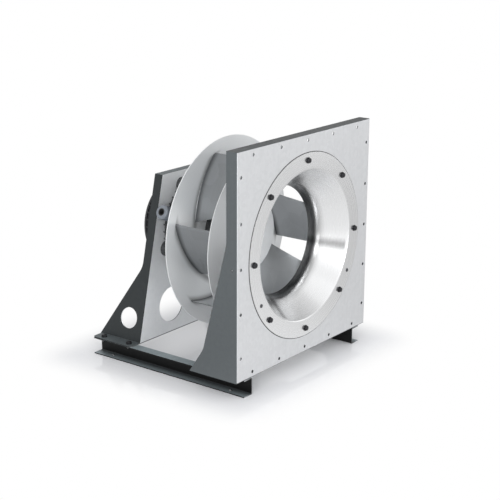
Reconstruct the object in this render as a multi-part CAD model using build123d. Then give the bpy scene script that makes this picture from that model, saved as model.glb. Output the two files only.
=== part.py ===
from build123d import *
import os
from math import atan2, cos, degrees, radians, sin, sqrt, tan

# Centrifugal plug fan on a base frame, in millimetres.
# X runs to the right as seen from the inlet, Y runs from the inlet to the rear and Z is up.
# The origin is on the floor, in the middle of the footprint.

# Sheet and fits
SHEET = 2.5               # panels of folded sheet steel
BEND = 3.0                # outside radius of a fold in the panels
SEAT = 0.3                # gap between parts that sit beside one another
THREAD_GAP = 0.1          # radial gap between a screw and its nut
HOLE_GAP = 0.5            # radial gap between a screw and a plain hole
SPIN_GAP = 0.3            # gap between a ball and its tracks

# Base rails, C channels that open outwards
RAIL_HEIGHT = 50.0
RAIL_FLANGE = 35.0
RAIL_WALL = 3.0
RAIL_BEND = 5.0           # outside radius of the channel's corners
RAIL_LENGTH = 558.0
RAIL_INSET = 31.5         # from the side of the inlet panel to the edge of the rail
FLOOR_HOLE_R = 5.5
FLOOR_HOLE_END = 60.0     # from either end of the rail to its floor hole

# Inlet panel
PANEL_SIZE = 630.0        # width and height
PANEL_FLANGE = 36.0       # depth of the folded edge
CHEEK_START = 380.0       # height above the rails where the side flange starts to widen
CHEEK_KNEE = 72.0         # height above the rails where the foot flares
CHEEK_KNEE_DEPTH = 117.0
CHEEK_FOOT_DEPTH = 165.0
CHEEK_ROUND = 60.0        # radius of the two turns along the side flange
EDGE_PITCH = 123.5        # between the holes along each edge
EDGE_COUNT = 5
EDGE_OFFSET = 16.0        # from a hole to the edge of the panel
EDGE_HOLE_R = 4.5
CHEEK_HOLE_R = 2.5        # earth screw hole in either side flange
CHEEK_HOLE_DEPTH = 17.0
CHEEK_HOLE_HEIGHT = 314.0
FOOT_WIDTH = 68.0         # foot plate folded in over the rail
FOOT_START = 42.0         # from the panel's face to the front edge of the foot plate

# Inlet nozzle, spun from sheet
NOZZLE_WALL = 1.5
NOZZLE_RIM_R = 264.0
NOZZLE_LIP_R = 216.0      # where the flat rim meets the cone
NOZZLE_LIP_ROUND = 6.0    # radius of that turn
NOZZLE_CONE = 37.0        # degrees between the cone and the fan's axis
THROAT_R = 157.0          # inside, at the narrow end
THROAT_ROUND = 50.0       # radius of the turn from the cone into the throat
NOZZLE_REACH = 104.0      # from the panel's face to the narrow end
NOZZLE_PCR = 243.0        # circle of the rim screws
NOZZLE_SCREWS = 8
TAP_ANGLES = (-30.0, -150.0)
TAP_SPIGOT_R = 2.5        # hose end of a pressure tap, behind the panel
TAP_SPIGOT = 14.0

# Impeller
BACKPLATE_R = 279.0
BACKPLATE_WALL = 2.5
BACKPLATE_FRONT = 275.5   # from the panel's face
SHROUD_WALL = 2.0
SHROUD_R = 277.0
SHROUD_RIM = 131.0        # from the panel's face to the rim of the shroud
SHROUD_SLOPE = 10.0       # degrees that the flat part leans back
SHROUD_ROUND = 26.0       # radius of its turn
SHROUD_GAP = 4.5          # radial gap round the nozzle
SHROUD_LAP = 18.0         # length over which the nozzle reaches into the shroud
BLADES = 6
BLADE_WALL = 2.5
BLADE_R = 246.0           # outer edge
BLADE_EYE_R = 162.0       # inner edge at the backplate
BLADE_EYE_STEP = 13.0     # from the shroud's collar out to the inner edge
BLADE_CURVE = 303.6       # radius of the blade's arc
BLADE_ANGLE = 29.5        # degrees between the outer edge and the circumference
BLADE_TURN = 105.4        # degrees from the X axis to the outer edge of the first blade

# Motor panel
MOTOR_PANEL_FRONT = 412.0  # from the panel's face
MOTOR_PANEL_RISE = 168.0   # from the fan's axis to the top
MOTOR_PANEL_INSET = 4.5    # from the inner edge of a rail to the foot of the slanted side
MOTOR_PANEL_TOP = 266.0    # width at the top
MOTOR_FLANGE = 29.0        # depth of the folded edge
GUSSET_START = 216.0       # height above the rails where the gusset starts
GUSSET_DEPTH = 157.0
GUSSET_HOLE_R = 31.0
GUSSET_HOLE_DEPTH = 55.0
GUSSET_HOLE_HEIGHT = 65.0
VENT_R = 53.0
VENT_X = 103.0
VENT_HEIGHT = 86.0
HEEL_WIDTH = 39.0          # foot plate folded out over the rail
HEEL_TIP = 6.0             # from the tip of the gusset to the foot plate

# Motor, with an outer rotor
ROTOR_R = 112.0
ROTOR_WALL = 6.0
ROTOR_FRONT = 190.0        # from the panel's face
ROTOR_REAR = 300.0
ROTOR_END = 8.0            # thickness of the closed front
ROTOR_RIM_R = 140.0
ROTOR_RIM_WALL = 8.0
HUB_PCR = 126.0
HUB_SCREWS = 8
MAGNET_WALL = 5.0
MAGNETS = 10
MAGNET_ARC = 32.0          # degrees
AIR_GAP = 1.0
CORE_LENGTH = 62.0
CORE_REAR = 282.0          # from the panel's face
CORE_YOKE = 16.0
TEETH = 12
TOOTH_WIDTH = 16.0
TOOTH_TIP = 4.0
TIP_ARC = 25.0             # degrees
COIL_WALL = 4.5
COIL_OVERHANG = 10.0
TUBE_R = 34.0              # bearing tube, outside
SHAFT_R = 12.5
SHAFT_REAR = 352.0         # from the panel's face
BEARING_R = 26.0
BEARING_WIDTH = 15.0
BEARING_LAND = 4.5        # thickness of either ring
CAGE_WALL = 2.0
CAGE_EDGE = 1.5           # from a ball to the edge of its cage
PRELOAD_WALL = 2.0        # spring washer in front of the rear bearing
CLIP_WALL = 1.2
CLIP_DEPTH = 1.0
CLIP_GAP = 5.0
BALL_R = 4.0
BALLS = 9
FRONT_BEARING = 212.0      # from the panel's face to the front of the bearing
REAR_BEARING = 326.0

# Motor housing, electronics and their fasteners
STATOR_FRONT = 304.0       # from the panel's face
STATOR_DISC = 10.0
STATOR_R = 129.0
STATOR_RIB = 8.0           # how far the cooling ribs stand out
STATOR_RIBS = 40
RIB_WALL = 3.0
HOUSING_WALL = 6.0
LUG_PCR = 136.0
LUG_R = 22.0
LUG_LENGTH = 26.0
LUG_TURN = 22.5            # degrees from the X axis to the first lug
LUG_BOLT_R = 142.0         # circle of the bolts through the lugs
LUGS = 4
PANEL_BORE_R = 122.0       # opening in the motor panel behind the housing
BOX_R = 118.0              # electronics housing behind the panel
BOX_RIB = 8.0
BOX_RIBS = 36
BOX_LENGTH = 74.0
BOX_WALL = 10.0
EAR_R = 14.0
COVER_LENGTH = 14.0
COVER_SCREWS = 6
BOARD_R = 104.0
BOARD_WALL = 1.6
BOARD_SHELF = 22.0         # from the panel to the board
SHELF_WIDTH = 8.0
CAPACITOR_R = 15.0
CAPACITOR_LENGTH = 35.0
COVER_SCREW_DEPTH = 12.0
GLAND_TURN = 157.5         # degrees from the X axis
GLAND_DEPTH = 388.0        # from the panel's face
GLAND_R = 21.0
GLAND_STEM_R = 14.0
GLAND_SEAL_WALL = 3.0
PAD_STEP = 2.0             # how far the gland's pad stands over the ribs
GLAND_BORE_R = 8.0
GLAND_REACH = 182.0        # from the fan's axis to the mouth of the gland

# Screws: shank radius, width across flats of the head, head height
M10 = (5.0, 16.0, 6.4)
M8 = (4.0, 13.0, 5.3)
M6 = (3.0, 10.0, 4.0)
M5 = (2.5, 8.0, 3.5)
WASHER_STEP = 2.5          # how far a washer reaches past the head's corners
WASHER_WALL = 1.6
FOOT_BOLT_PITCH = 98.0

# Places that follow
SCREW_FRONT = NOZZLE_WALL + WASHER_WALL + M8[2]
FRONT = -(GUSSET_DEPTH + MOTOR_PANEL_FRONT - SCREW_FRONT) / 2
SIDE = PANEL_SIZE / 2
AXIS_Z = RAIL_HEIGHT + SIDE
MOTOR_PANEL_HEIGHT = SIDE + MOTOR_PANEL_RISE
RAIL_OUT = SIDE - RAIL_INSET
RAIL_IN = RAIL_OUT - RAIL_FLANGE
BOLT_X = (RAIL_OUT + RAIL_IN) / 2
MOTOR_PANEL_FOOT = 2 * (RAIL_IN - MOTOR_PANEL_INSET)
MOTOR_Y = FRONT + MOTOR_PANEL_FRONT
AXIS = Axis((0, 0, AXIS_Z), (0, 1, 0))


def save(shape, name):
    """Write one sub-part, or a group of equal ones, under its own name."""
    whole = Compound(children=shape) if isinstance(shape, list) else shape
    whole.label = name
    export_step(whole, os.path.join("parts", name + ".step"))


def face_plane(y):
    """A plane across the fan's axis, whose local X is X and local Y is up."""
    return Plane(origin=(0, y, AXIS_Z), x_dir=(1, 0, 0), z_dir=(0, -1, 0))


def disc(y0, y1, r, hole=0.0):
    """A round plate or ring about the fan's axis, from y0 to y1."""
    ring = face_plane(y1) * Circle(r)
    if hole:
        ring -= face_plane(y1) * Circle(hole)
    return extrude(ring, y1 - y0)


def spin(*corners):
    """Turn a closed outline, given as corners of radius and Y, about the fan's axis."""
    return spin_line(Polyline(*corners, close=True))


def spin_line(line):
    """Turn a closed line in the plane of radius and Y about the fan's axis."""
    section = Plane(origin=(0, 0, AXIS_Z), x_dir=(1, 0, 0), z_dir=(0, 0, 1)) * make_face(line)
    return revolve(section, AXIS, 360)


def around(piece, count, start=0.0):
    """Copies of a piece, evenly spaced about the fan's axis."""
    turn = Pos(0, 0, AXIS_Z)
    return [turn * Rot(0, -(start + 360 / count * n), 0) * turn.inverse() * piece for n in range(count)]


def polar(r, degrees_from_x):
    """X and Z on a circle about the fan's axis, counted from the axis itself."""
    return r * cos(radians(degrees_from_x)), r * sin(radians(degrees_from_x))


def rod(y0, y1, x, z, r):
    """A round bar along Y, at x and z from the fan's axis."""
    return extrude(face_plane(y1) * Pos(x, z) * Circle(r), y1 - y0)


def hex_bar(y0, y1, x, z, across):
    """A hexagonal bar along Y, at x and z from the fan's axis."""
    outline = RegularPolygon(radius=across / 2, side_count=6, major_radius=False)
    return extrude(face_plane(y1) * Pos(x, z) * outline, y1 - y0)


def screw_along_y(size, y_seat, length, x, z, washer=True):
    """A hexagon screw whose head looks forwards and whose washer lies at y_seat."""
    shank, across, head = size
    step = WASHER_WALL if washer else 0.0
    corner = across / sqrt(3)
    body = rod(y_seat - step, y_seat + length, x, z, shank)
    body += hex_bar(y_seat - step - head, y_seat - step, x, z, across)
    if washer:
        body += rod(y_seat - step, y_seat, x, z, corner + WASHER_STEP / 2)
    return body


def nut_along_y(size, y_seat, x, z):
    """A hexagon nut that lies against a face at y_seat and reaches back from it."""
    shank, across, head = size
    height = head * 1.25
    nut = hex_bar(y_seat, y_seat + height, x, z, across)
    return nut - rod(y_seat, y_seat + height, x, z, shank + THREAD_GAP)


def screw_down(size, z_seat, length, x, y):
    """A hexagon screw that points down, with its washer lying on z_seat."""
    shank, across, head = size
    corner = across / sqrt(3)
    top = Plane.XY.offset(z_seat)
    body = extrude(top * Pos(x, y) * Circle(corner + WASHER_STEP / 2), WASHER_WALL)
    raised = Plane.XY.offset(z_seat + WASHER_WALL)
    body += extrude(raised * Pos(x, y) * RegularPolygon(across / 2, 6, major_radius=False), head)
    return body + extrude(top * Pos(x, y) * Circle(shank), -length)


def nut_below(size, z_seat, x, y):
    """A hexagon nut against the underside of a flange at z_seat."""
    shank, across, head = size
    under = Plane.XY.offset(z_seat)
    outline = RegularPolygon(across / 2, 6, major_radius=False) - Circle(shank + THREAD_GAP)
    return extrude(under * Pos(x, y) * outline, -head * 1.25)


def hole_down(z, depth, x, y, r):
    """A round cutter that goes down from z."""
    return extrude(Plane.XY.offset(z) * Pos(x, y) * Circle(r), -depth)


def block(x0, x1, y0, y1, z0, z1):
    """A box between two corners."""
    return Pos((x0 + x1) / 2, (y0 + y1) / 2, (z0 + z1) / 2) * Box(x1 - x0, y1 - y0, z1 - z0)


def foot_bolt_places():
    """X and Y of the bolts that hold the two panels to the rails."""
    cheek_y = FRONT + FOOT_START + (CHEEK_FOOT_DEPTH - FOOT_START - FOOT_BOLT_PITCH) / 2
    heel_y = MOTOR_Y + (GUSSET_DEPTH - HEEL_TIP - FOOT_BOLT_PITCH) / 2 - HEEL_TIP / 2
    rows = (cheek_y, cheek_y + FOOT_BOLT_PITCH, heel_y, heel_y + FOOT_BOLT_PITCH)
    return [(side * BOLT_X, y) for side in (-1, 1) for y in rows]


# Base rails
def rail(side):
    """One C channel: web inside, two flanges towards the outside, holes in both flanges."""
    x_in = side * RAIL_IN
    x_out = side * RAIL_OUT
    section = Plane(origin=(0, FRONT, 0), x_dir=(1, 0, 0), z_dir=(0, -1, 0))
    outer = Pos((x_in + x_out) / 2, RAIL_HEIGHT / 2) * Rectangle(RAIL_FLANGE, RAIL_HEIGHT)
    inner_corners = outer.vertices().group_by(Axis.X)[0 if side > 0 else -1]
    outer = fillet(inner_corners, RAIL_BEND)
    hollow_width = RAIL_FLANGE - RAIL_WALL
    hollow = Rectangle(hollow_width, RAIL_HEIGHT - 2 * RAIL_WALL)
    hollow = Pos(x_out - side * hollow_width / 2, RAIL_HEIGHT / 2) * hollow
    hollow_corners = hollow.vertices().group_by(Axis.X)[0 if side > 0 else -1]
    hollow = fillet(hollow_corners, RAIL_BEND - RAIL_WALL)
    channel = extrude(section * (outer - hollow), -RAIL_LENGTH)
    for x, y in foot_bolt_places():
        if x * side > 0:
            channel -= hole_down(RAIL_HEIGHT + 1, RAIL_WALL + 2, x, y, M8[0] + HOLE_GAP)
    for y in (FRONT + FLOOR_HOLE_END, FRONT + RAIL_LENGTH - FLOOR_HOLE_END):
        channel -= hole_down(RAIL_WALL + 1, RAIL_WALL + 2, side * BOLT_X, y, FLOOR_HOLE_R)
    return channel


# Inlet panel
def cheek_outline():
    """Side flange in Y and Z: narrow at the top, wider below and flared at the foot."""
    z0 = RAIL_HEIGHT
    edge = FilletPolyline(
        (FRONT + PANEL_FLANGE, z0 + PANEL_SIZE),
        (FRONT + PANEL_FLANGE, z0 + CHEEK_START),
        (FRONT + CHEEK_KNEE_DEPTH, z0 + CHEEK_KNEE),
        (FRONT + CHEEK_FOOT_DEPTH, z0),
        radius=CHEEK_ROUND)
    rest = Polyline(
        (FRONT + CHEEK_FOOT_DEPTH, z0),
        (FRONT, z0),
        (FRONT, z0 + PANEL_SIZE),
        (FRONT + PANEL_FLANGE, z0 + PANEL_SIZE))
    return make_face(Plane.YZ * (edge + rest))


def edge_hole_places():
    """Centres of the holes round the edge, from the middle of the panel."""
    row = SIDE - EDGE_OFFSET
    places = []
    for step in range(EDGE_COUNT):
        along = (step - (EDGE_COUNT - 1) / 2) * EDGE_PITCH
        places += [(along, row), (along, -row), (row, along), (-row, along)]
    return places


def nozzle_screw_places():
    """Centres of the rim screws, from the fan's axis."""
    return [polar(NOZZLE_PCR, 360 / NOZZLE_SCREWS * n) for n in range(NOZZLE_SCREWS)]


def inlet_panel():
    """Front sheet with folded top and bottom, wide cheeks at the sides and foot plates."""
    z0 = RAIL_HEIGHT
    z1 = z0 + PANEL_SIZE
    tray = block(-SIDE, SIDE, FRONT, FRONT + PANEL_FLANGE, z0, z1)
    tray -= block(
        -SIDE + SHEET, SIDE - SHEET, FRONT + SHEET, FRONT + PANEL_FLANGE + 1, z0 + SHEET, z1 - SHEET)
    for side in (-1, 1):
        cheek = extrude(Pos(side * SIDE, 0, 0) * cheek_outline(), SHEET, dir=(-side, 0, 0))
        tray += cheek
        foot = block(
            min(side * SIDE, side * (SIDE - FOOT_WIDTH)), max(side * SIDE, side * (SIDE - FOOT_WIDTH)),
            FRONT + FOOT_START, FRONT + CHEEK_FOOT_DEPTH - SHEET, z0, z0 + SHEET)
        inner = foot.edges().filter_by(Axis.Z).group_by(Axis.X)[0 if side > 0 else -1]
        tray += fillet(inner, 4 * BEND)
    front_edges = tray.edges().group_by(Axis.Y)[0].filter_by(GeomType.LINE)
    tray = fillet(front_edges, BEND)
    tray -= disc(FRONT - 1, FRONT + SHEET + 1, NOZZLE_LIP_R + 3 * NOZZLE_WALL)
    for x, z in edge_hole_places():
        tray -= rod(FRONT - 1, FRONT + SHEET + 1, x, z, EDGE_HOLE_R)
    for x, z in nozzle_screw_places():
        tray -= rod(FRONT - 1, FRONT + SHEET + 1, x, z, M8[0] + HOLE_GAP)
    for angle in TAP_ANGLES:
        x, z = polar(NOZZLE_PCR, angle)
        tray -= rod(FRONT - 1, FRONT + SHEET + 1, x, z, M6[0] + HOLE_GAP)
    for x, y in foot_bolt_places():
        if y < 0:
            tray -= hole_down(z0 + SHEET + 1, SHEET + 2, x, y, M8[0] + HOLE_GAP)
    earth = Plane.YZ * Pos(FRONT + CHEEK_HOLE_DEPTH, z0 + CHEEK_HOLE_HEIGHT) * Circle(CHEEK_HOLE_R)
    return tray - extrude(earth, PANEL_SIZE, both=True)


# Inlet nozzle
def nozzle_line(lip_r, throat_r, y, lip_round, throat_round):
    """One side of the spun sheet in radius and Y: flat rim, cone and straight throat."""
    knee = y + (lip_r - throat_r) / tan(radians(NOZZLE_CONE))
    return FilletPolyline(
        (NOZZLE_RIM_R, y), (lip_r, y), (throat_r, knee), (throat_r, FRONT + NOZZLE_REACH),
        radius=(lip_round, throat_round))


def nozzle():
    """Spun sheet: a flat rim that turns into a cone, and the cone into a straight throat."""
    face = FRONT - NOZZLE_WALL
    tip = FRONT + NOZZLE_REACH
    cone = radians(NOZZLE_CONE)
    back_lip_r = NOZZLE_LIP_R + NOZZLE_WALL * (1 - sin(cone)) / cos(cone)
    back_r = THROAT_R + NOZZLE_WALL
    air_side = nozzle_line(NOZZLE_LIP_R, THROAT_R, face, NOZZLE_LIP_ROUND, THROAT_ROUND)
    back_side = nozzle_line(
        back_lip_r, back_r, FRONT, NOZZLE_LIP_ROUND - NOZZLE_WALL, THROAT_ROUND - NOZZLE_WALL)
    edge_line = Line((NOZZLE_RIM_R, face), (NOZZLE_RIM_R, FRONT))
    tip_line = Line((THROAT_R, tip), (back_r, tip))
    bell = spin_line(air_side + back_side + edge_line + tip_line)
    for x, z in nozzle_screw_places():
        bell -= rod(face - 1, FRONT + 1, x, z, M8[0] + HOLE_GAP)
    for angle in TAP_ANGLES:
        x, z = polar(NOZZLE_PCR, angle)
        bell -= rod(face - 1, FRONT + 1, x, z, M6[0] + HOLE_GAP)
    return bell


def pressure_tap(angle):
    """Flat hollow head on the nozzle's rim, a thin nut behind the panel and a spigot for a hose."""
    x, z = polar(NOZZLE_PCR, angle)
    face = FRONT - NOZZLE_WALL
    root = FRONT + SHEET + M6[2] / 2
    tip = root + TAP_SPIGOT
    tap = hex_bar(face - M6[2] / 4, face, x, z, M6[1])
    tap += rod(face, root, x, z, M6[0])
    tap += hex_bar(FRONT + SHEET, root, x, z, M6[1])
    tap += rod(root, tip, x, z, TAP_SPIGOT_R)
    return tap - rod(face - M6[2], tip + 1, x, z, TAP_SPIGOT_R / 2)


# Motor panel
def motor_panel():
    """Trapezium of sheet with folded edges that widen into gussets, on two foot plates."""
    z0 = RAIL_HEIGHT
    z1 = z0 + MOTOR_PANEL_HEIGHT
    half_foot = MOTOR_PANEL_FOOT / 2
    half_top = MOTOR_PANEL_TOP / 2
    outline = Polyline(
        (-half_foot, z0 - AXIS_Z), (half_foot, z0 - AXIS_Z),
        (half_top, z1 - AXIS_Z), (-half_top, z1 - AXIS_Z), close=True)
    sheet = extrude(face_plane(MOTOR_Y) * make_face(outline), SHEET, dir=(0, 1, 0))
    sheet += block(-half_top, half_top, MOTOR_Y, MOTOR_Y + MOTOR_FLANGE, z1 - SHEET, z1)
    lean = atan2(half_foot - half_top, MOTOR_PANEL_HEIGHT)
    length = MOTOR_PANEL_HEIGHT / cos(lean)
    start = GUSSET_START / cos(lean)
    below = SHEET * tan(lean) + SHEET
    tip = MOTOR_Y + GUSSET_DEPTH
    for side in (-1, 1):
        # The flange lies in a plane of its own: local X is Y, local Y runs up the slanted edge.
        plane = Plane(
            origin=(side * half_foot, 0, z0),
            x_dir=(0, 1, 0),
            z_dir=(side * cos(lean), 0, sin(lean)))
        up = 1 if plane.y_dir.Z > 0 else -1
        edge = FilletPolyline(
            (MOTOR_Y + MOTOR_FLANGE, up * length),
            (MOTOR_Y + MOTOR_FLANGE, up * start),
            (tip, 0),
            radius=CHEEK_ROUND)
        rest = Polyline(
            (tip, 0), (tip, -up * below), (MOTOR_Y, -up * below),
            (MOTOR_Y, up * length), (MOTOR_Y + MOTOR_FLANGE, up * length))
        inwards = (-side * cos(lean), 0, -sin(lean))
        flange = extrude(plane * make_face(edge + rest), SHEET, dir=inwards)
        hole = plane * Pos(MOTOR_Y + GUSSET_HOLE_DEPTH, up * GUSSET_HOLE_HEIGHT / cos(lean))
        flange -= extrude(hole * Circle(GUSSET_HOLE_R), SHEET * 2, both=True)
        sheet += flange
    sheet &= block(-SIDE, SIDE, MOTOR_Y, tip, z0, z1)
    for side in (-1, 1):
        heel_in = side * (half_foot - SHEET)
        heel_out = side * (half_foot + HEEL_WIDTH)
        heel = block(
            min(heel_in, heel_out), max(heel_in, heel_out), MOTOR_Y, tip - HEEL_TIP, z0, z0 + SHEET)
        outer = heel.edges().filter_by(Axis.Z).group_by(Axis.X)[0 if side < 0 else -1]
        sheet += fillet(outer, 3 * BEND)
    sheet -= disc(MOTOR_Y - 1, MOTOR_Y + SHEET + 1, PANEL_BORE_R)
    for side in (-1, 1):
        vent_z = VENT_HEIGHT - SIDE
        sheet -= rod(MOTOR_Y - 1, MOTOR_Y + SHEET + 1, side * VENT_X, vent_z, VENT_R)
    for x, z in lug_places():
        sheet -= rod(MOTOR_Y - 1, MOTOR_Y + SHEET + 1, x, z, M10[0] + HOLE_GAP)
    for x, y in foot_bolt_places():
        if y > 0:
            sheet -= hole_down(z0 + SHEET + 1, SHEET + 2, x, y, M8[0] + HOLE_GAP)
    return sheet


# Motor mounting
def lug_places(r=LUG_BOLT_R):
    """Centres of the motor's bolts, or of its lugs, from the fan's axis."""
    return [polar(r, LUG_TURN + 360 / LUGS * n) for n in range(LUGS)]


def radial_plane(angle, y, reach):
    """A plane at a distance from the fan's axis that looks outwards at an angle."""
    x, z = polar(reach, angle)
    outwards = (cos(radians(angle)), 0, sin(radians(angle)))
    return Plane(origin=(x, y, AXIS_Z + z), x_dir=(0, 1, 0), z_dir=outwards)


def motor_housing():
    """Casting: bearing tube, end disc, ribbed drum, mounting lugs and a pad for the gland."""
    front = FRONT + STATOR_FRONT
    inside = STATOR_R - HOUSING_WALL
    neck = BEARING_R - BEARING_LAND
    seat = FRONT + REAR_BEARING - PRELOAD_WALL
    tube_front = FRONT + FRONT_BEARING
    tube_rear = FRONT + REAR_BEARING + BEARING_WIDTH + HOUSING_WALL
    casting = spin(
        (BEARING_R, tube_front), (TUBE_R, tube_front), (TUBE_R, front), (STATOR_R, front),
        (STATOR_R, MOTOR_Y), (inside, MOTOR_Y), (inside, front + STATOR_DISC),
        (TUBE_R, front + STATOR_DISC), (TUBE_R, tube_rear), (BEARING_R, tube_rear), (BEARING_R, seat),
        (neck, seat), (neck, tube_front + BEARING_WIDTH), (BEARING_R, tube_front + BEARING_WIDTH))
    rib_start = front + HOUSING_WALL
    rib = block(
        STATOR_R - 1, STATOR_R + STATOR_RIB, rib_start, MOTOR_Y - RIB_WALL,
        AXIS_Z - RIB_WALL / 2, AXIS_Z + RIB_WALL / 2)
    casting += around(rib, STATOR_RIBS)
    lug_front = MOTOR_Y - LUG_LENGTH
    for x, z in lug_places(LUG_PCR):
        casting -= rod(front + STATOR_DISC, lug_front, x, z, LUG_R) - disc(front, MOTOR_Y, STATOR_R)
        casting += rod(lug_front, MOTOR_Y, x, z, LUG_R) - disc(lug_front - 1, MOTOR_Y + 1, inside)
    for x, z in lug_places():
        casting -= rod(lug_front - 1, MOTOR_Y + 1, x, z, M10[0] + HOLE_GAP)
    pad_top = STATOR_R + STATOR_RIB + PAD_STEP
    pad = radial_plane(GLAND_TURN, FRONT + GLAND_DEPTH, STATOR_R - HOUSING_WALL / 2)
    casting += extrude(pad * Circle(GLAND_R), pad_top - STATOR_R + HOUSING_WALL / 2)
    bore = radial_plane(GLAND_TURN, FRONT + GLAND_DEPTH, STATOR_R - 2 * HOUSING_WALL)
    return casting - extrude(bore * Circle(GLAND_STEM_R), pad_top - STATOR_R + 3 * HOUSING_WALL)


def gland_parts():
    """Body, cap nut and seal of the cable gland, which points outwards from its pad."""
    y = FRONT + GLAND_DEPTH
    pad_top = STATOR_R + STATOR_RIB + PAD_STEP
    length = GLAND_REACH - pad_top
    hex_length = length * 0.25
    base = radial_plane(GLAND_TURN, y, pad_top)
    body = extrude(base * RegularPolygon(GLAND_R * 0.9, 6, major_radius=False), hex_length)
    body += extrude(base * Circle(GLAND_STEM_R), length * 0.75)
    body += extrude(base * Circle(GLAND_STEM_R), -(STATOR_RIB + PAD_STEP + HOUSING_WALL))
    body -= extrude(base * Circle(GLAND_BORE_R + GLAND_SEAL_WALL), length, both=True)
    cap_plane = radial_plane(GLAND_TURN, y, pad_top + hex_length)
    cap = extrude(cap_plane * Circle(GLAND_R), length - hex_length)
    cap = fillet(cap.edges().filter_by(GeomType.CIRCLE).sort_by_distance((0, y, AXIS_Z))[-1], GLAND_R / 4)
    cap -= extrude(cap_plane * Circle(GLAND_STEM_R), length * 0.75 - hex_length)
    cap -= extrude(cap_plane * Circle(GLAND_BORE_R + GLAND_SEAL_WALL), length)
    for n in range(6):
        groove = Pos(GLAND_R + 1, 0) * Circle(GLAND_R / 5)
        cap -= extrude(cap_plane * Rot(0, 0, 60 * n) * groove, (length - hex_length) * 0.7)
    ring = Circle(GLAND_BORE_R + GLAND_SEAL_WALL) - Circle(GLAND_BORE_R)
    seal = extrude(base.offset(hex_length) * ring, length - hex_length)
    return body, cap, seal


def electronics_housing():
    """Ribbed drum behind the panel, with a flange, ears for the motor bolts and a board shelf."""
    front = MOTOR_Y + SHEET
    rear = front + BOX_LENGTH
    inside = BOX_R - BOX_WALL
    shelf = front + BOARD_SHELF
    drum = spin(
        (inside, front), (STATOR_R, front), (STATOR_R, front + HOUSING_WALL),
        (BOX_R, front + HOUSING_WALL), (BOX_R, rear), (inside, rear), (inside, shelf),
        (BOARD_R - SHELF_WIDTH, shelf), (BOARD_R - SHELF_WIDTH, shelf - HOUSING_WALL),
        (inside, shelf - HOUSING_WALL))
    rib = block(
        BOX_R - 1, BOX_R + BOX_RIB, front + HOUSING_WALL - 1, rear - RIB_WALL,
        AXIS_Z - RIB_WALL / 2, AXIS_Z + RIB_WALL / 2)
    drum += around(rib, BOX_RIBS)
    ear = Pos(LUG_BOLT_R, 0) * Circle(EAR_R) + Pos(LUG_BOLT_R - EAR_R, 0) * Rectangle(2 * EAR_R, 2 * EAR_R)
    for n in range(LUGS):
        turned = face_plane(front) * Rot(0, 0, LUG_TURN + 360 / LUGS * n) * ear
        drum += extrude(turned, HOUSING_WALL, dir=(0, 1, 0)) - disc(front - 1, rear, inside)
    for x, z in lug_places():
        drum -= rod(front + HOUSING_WALL, rear, x, z, EAR_R) - disc(front, rear, BOX_R)
        drum -= rod(front - 1, front + HOUSING_WALL + 1, x, z, M10[0] + HOLE_GAP)
    for x, z in cover_screw_places():
        drum -= rod(rear - COVER_SCREW_DEPTH, rear, x, z, M5[0])
    return drum


def cover_screw_places():
    """Centres of the cover screws, from the fan's axis."""
    return [polar(BOX_R - BOX_WALL / 2, 360 / COVER_SCREWS * n) for n in range(COVER_SCREWS)]


def electronics_cover():
    """Cap with a sloped edge, hollow inside."""
    front = MOTOR_Y + SHEET + BOX_LENGTH
    rear = front + COVER_LENGTH
    step = HOUSING_WALL
    cap = spin(
        (BOX_R - BOX_WALL, front), (BOX_R + step, front), (BOX_R + step, front + step),
        (BOX_R - BOX_WALL, rear), (0, rear), (0, rear - step / 2), (BOX_R - 2 * BOX_WALL, rear - step / 2))
    for x, z in cover_screw_places():
        seat = rear - HOUSING_WALL
        cap -= rod(seat, rear + 1, x, z, M5[1] / 2 + WASHER_STEP)
        cap -= rod(front - 1, seat + 1, x, z, M5[0] + HOLE_GAP)
    return cap


def cover_screw(x, z):
    """Cylinder-head screw that points forwards into the rim of the drum."""
    joint = MOTOR_Y + SHEET + BOX_LENGTH
    seat = joint + COVER_LENGTH - HOUSING_WALL
    head = rod(seat, seat + M5[2], x, z, M5[1] / 2)
    socket = hex_bar(seat + M5[2] / 2, seat + M5[2], x, z, M5[1] / 2)
    return head - socket + rod(joint - COVER_SCREW_DEPTH + 1, seat, x, z, M5[0])


def circuit_board():
    """Round board with its capacitors and choke, which lies on the shelf of the drum."""
    y = MOTOR_Y + SHEET + BOARD_SHELF
    board = disc(y, y + BOARD_WALL, BOARD_R)
    for angle in (20, 65, 110):
        x, z = polar(BOARD_R * 0.6, angle)
        board += rod(y + BOARD_WALL, y + BOARD_WALL + CAPACITOR_LENGTH, x, z, CAPACITOR_R)
    x, z = polar(BOARD_R * 0.5, 240)
    choke = rod(y + BOARD_WALL, y + BOARD_WALL + CAPACITOR_LENGTH / 2, x, z, CAPACITOR_R * 1.6)
    return board + choke - rod(y + BOARD_WALL, y + CAPACITOR_LENGTH, x, z, CAPACITOR_R * 0.7)


# Stator
def core_r():
    """Outside radius of the stator core."""
    return ROTOR_R - ROTOR_WALL - MAGNET_WALL - AIR_GAP


def tooth_section():
    """Yoke ring with T-shaped teeth."""
    section = Circle(TUBE_R + CORE_YOKE)
    reach = core_r() - TOOTH_TIP / 2
    tip = Circle(core_r()) - Circle(core_r() - TOOTH_TIP)
    half = radians(TIP_ARC / 2)
    wedge = make_face(Polyline(
        (0, 0), (2 * core_r() * cos(half), 2 * core_r() * sin(half)),
        (2 * core_r() * cos(half), -2 * core_r() * sin(half)), close=True))
    tip &= wedge
    for n in range(TEETH):
        turn = Rot(0, 0, 360 / TEETH * n)
        section += turn * Pos(reach / 2, 0) * Rectangle(reach, TOOTH_WIDTH)
        section += turn * tip
    return section - Circle(TUBE_R)


def stator_core():
    """Stack of laminations pressed on the bearing tube."""
    return extrude(face_plane(FRONT + CORE_REAR) * tooth_section(), CORE_LENGTH)


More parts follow.
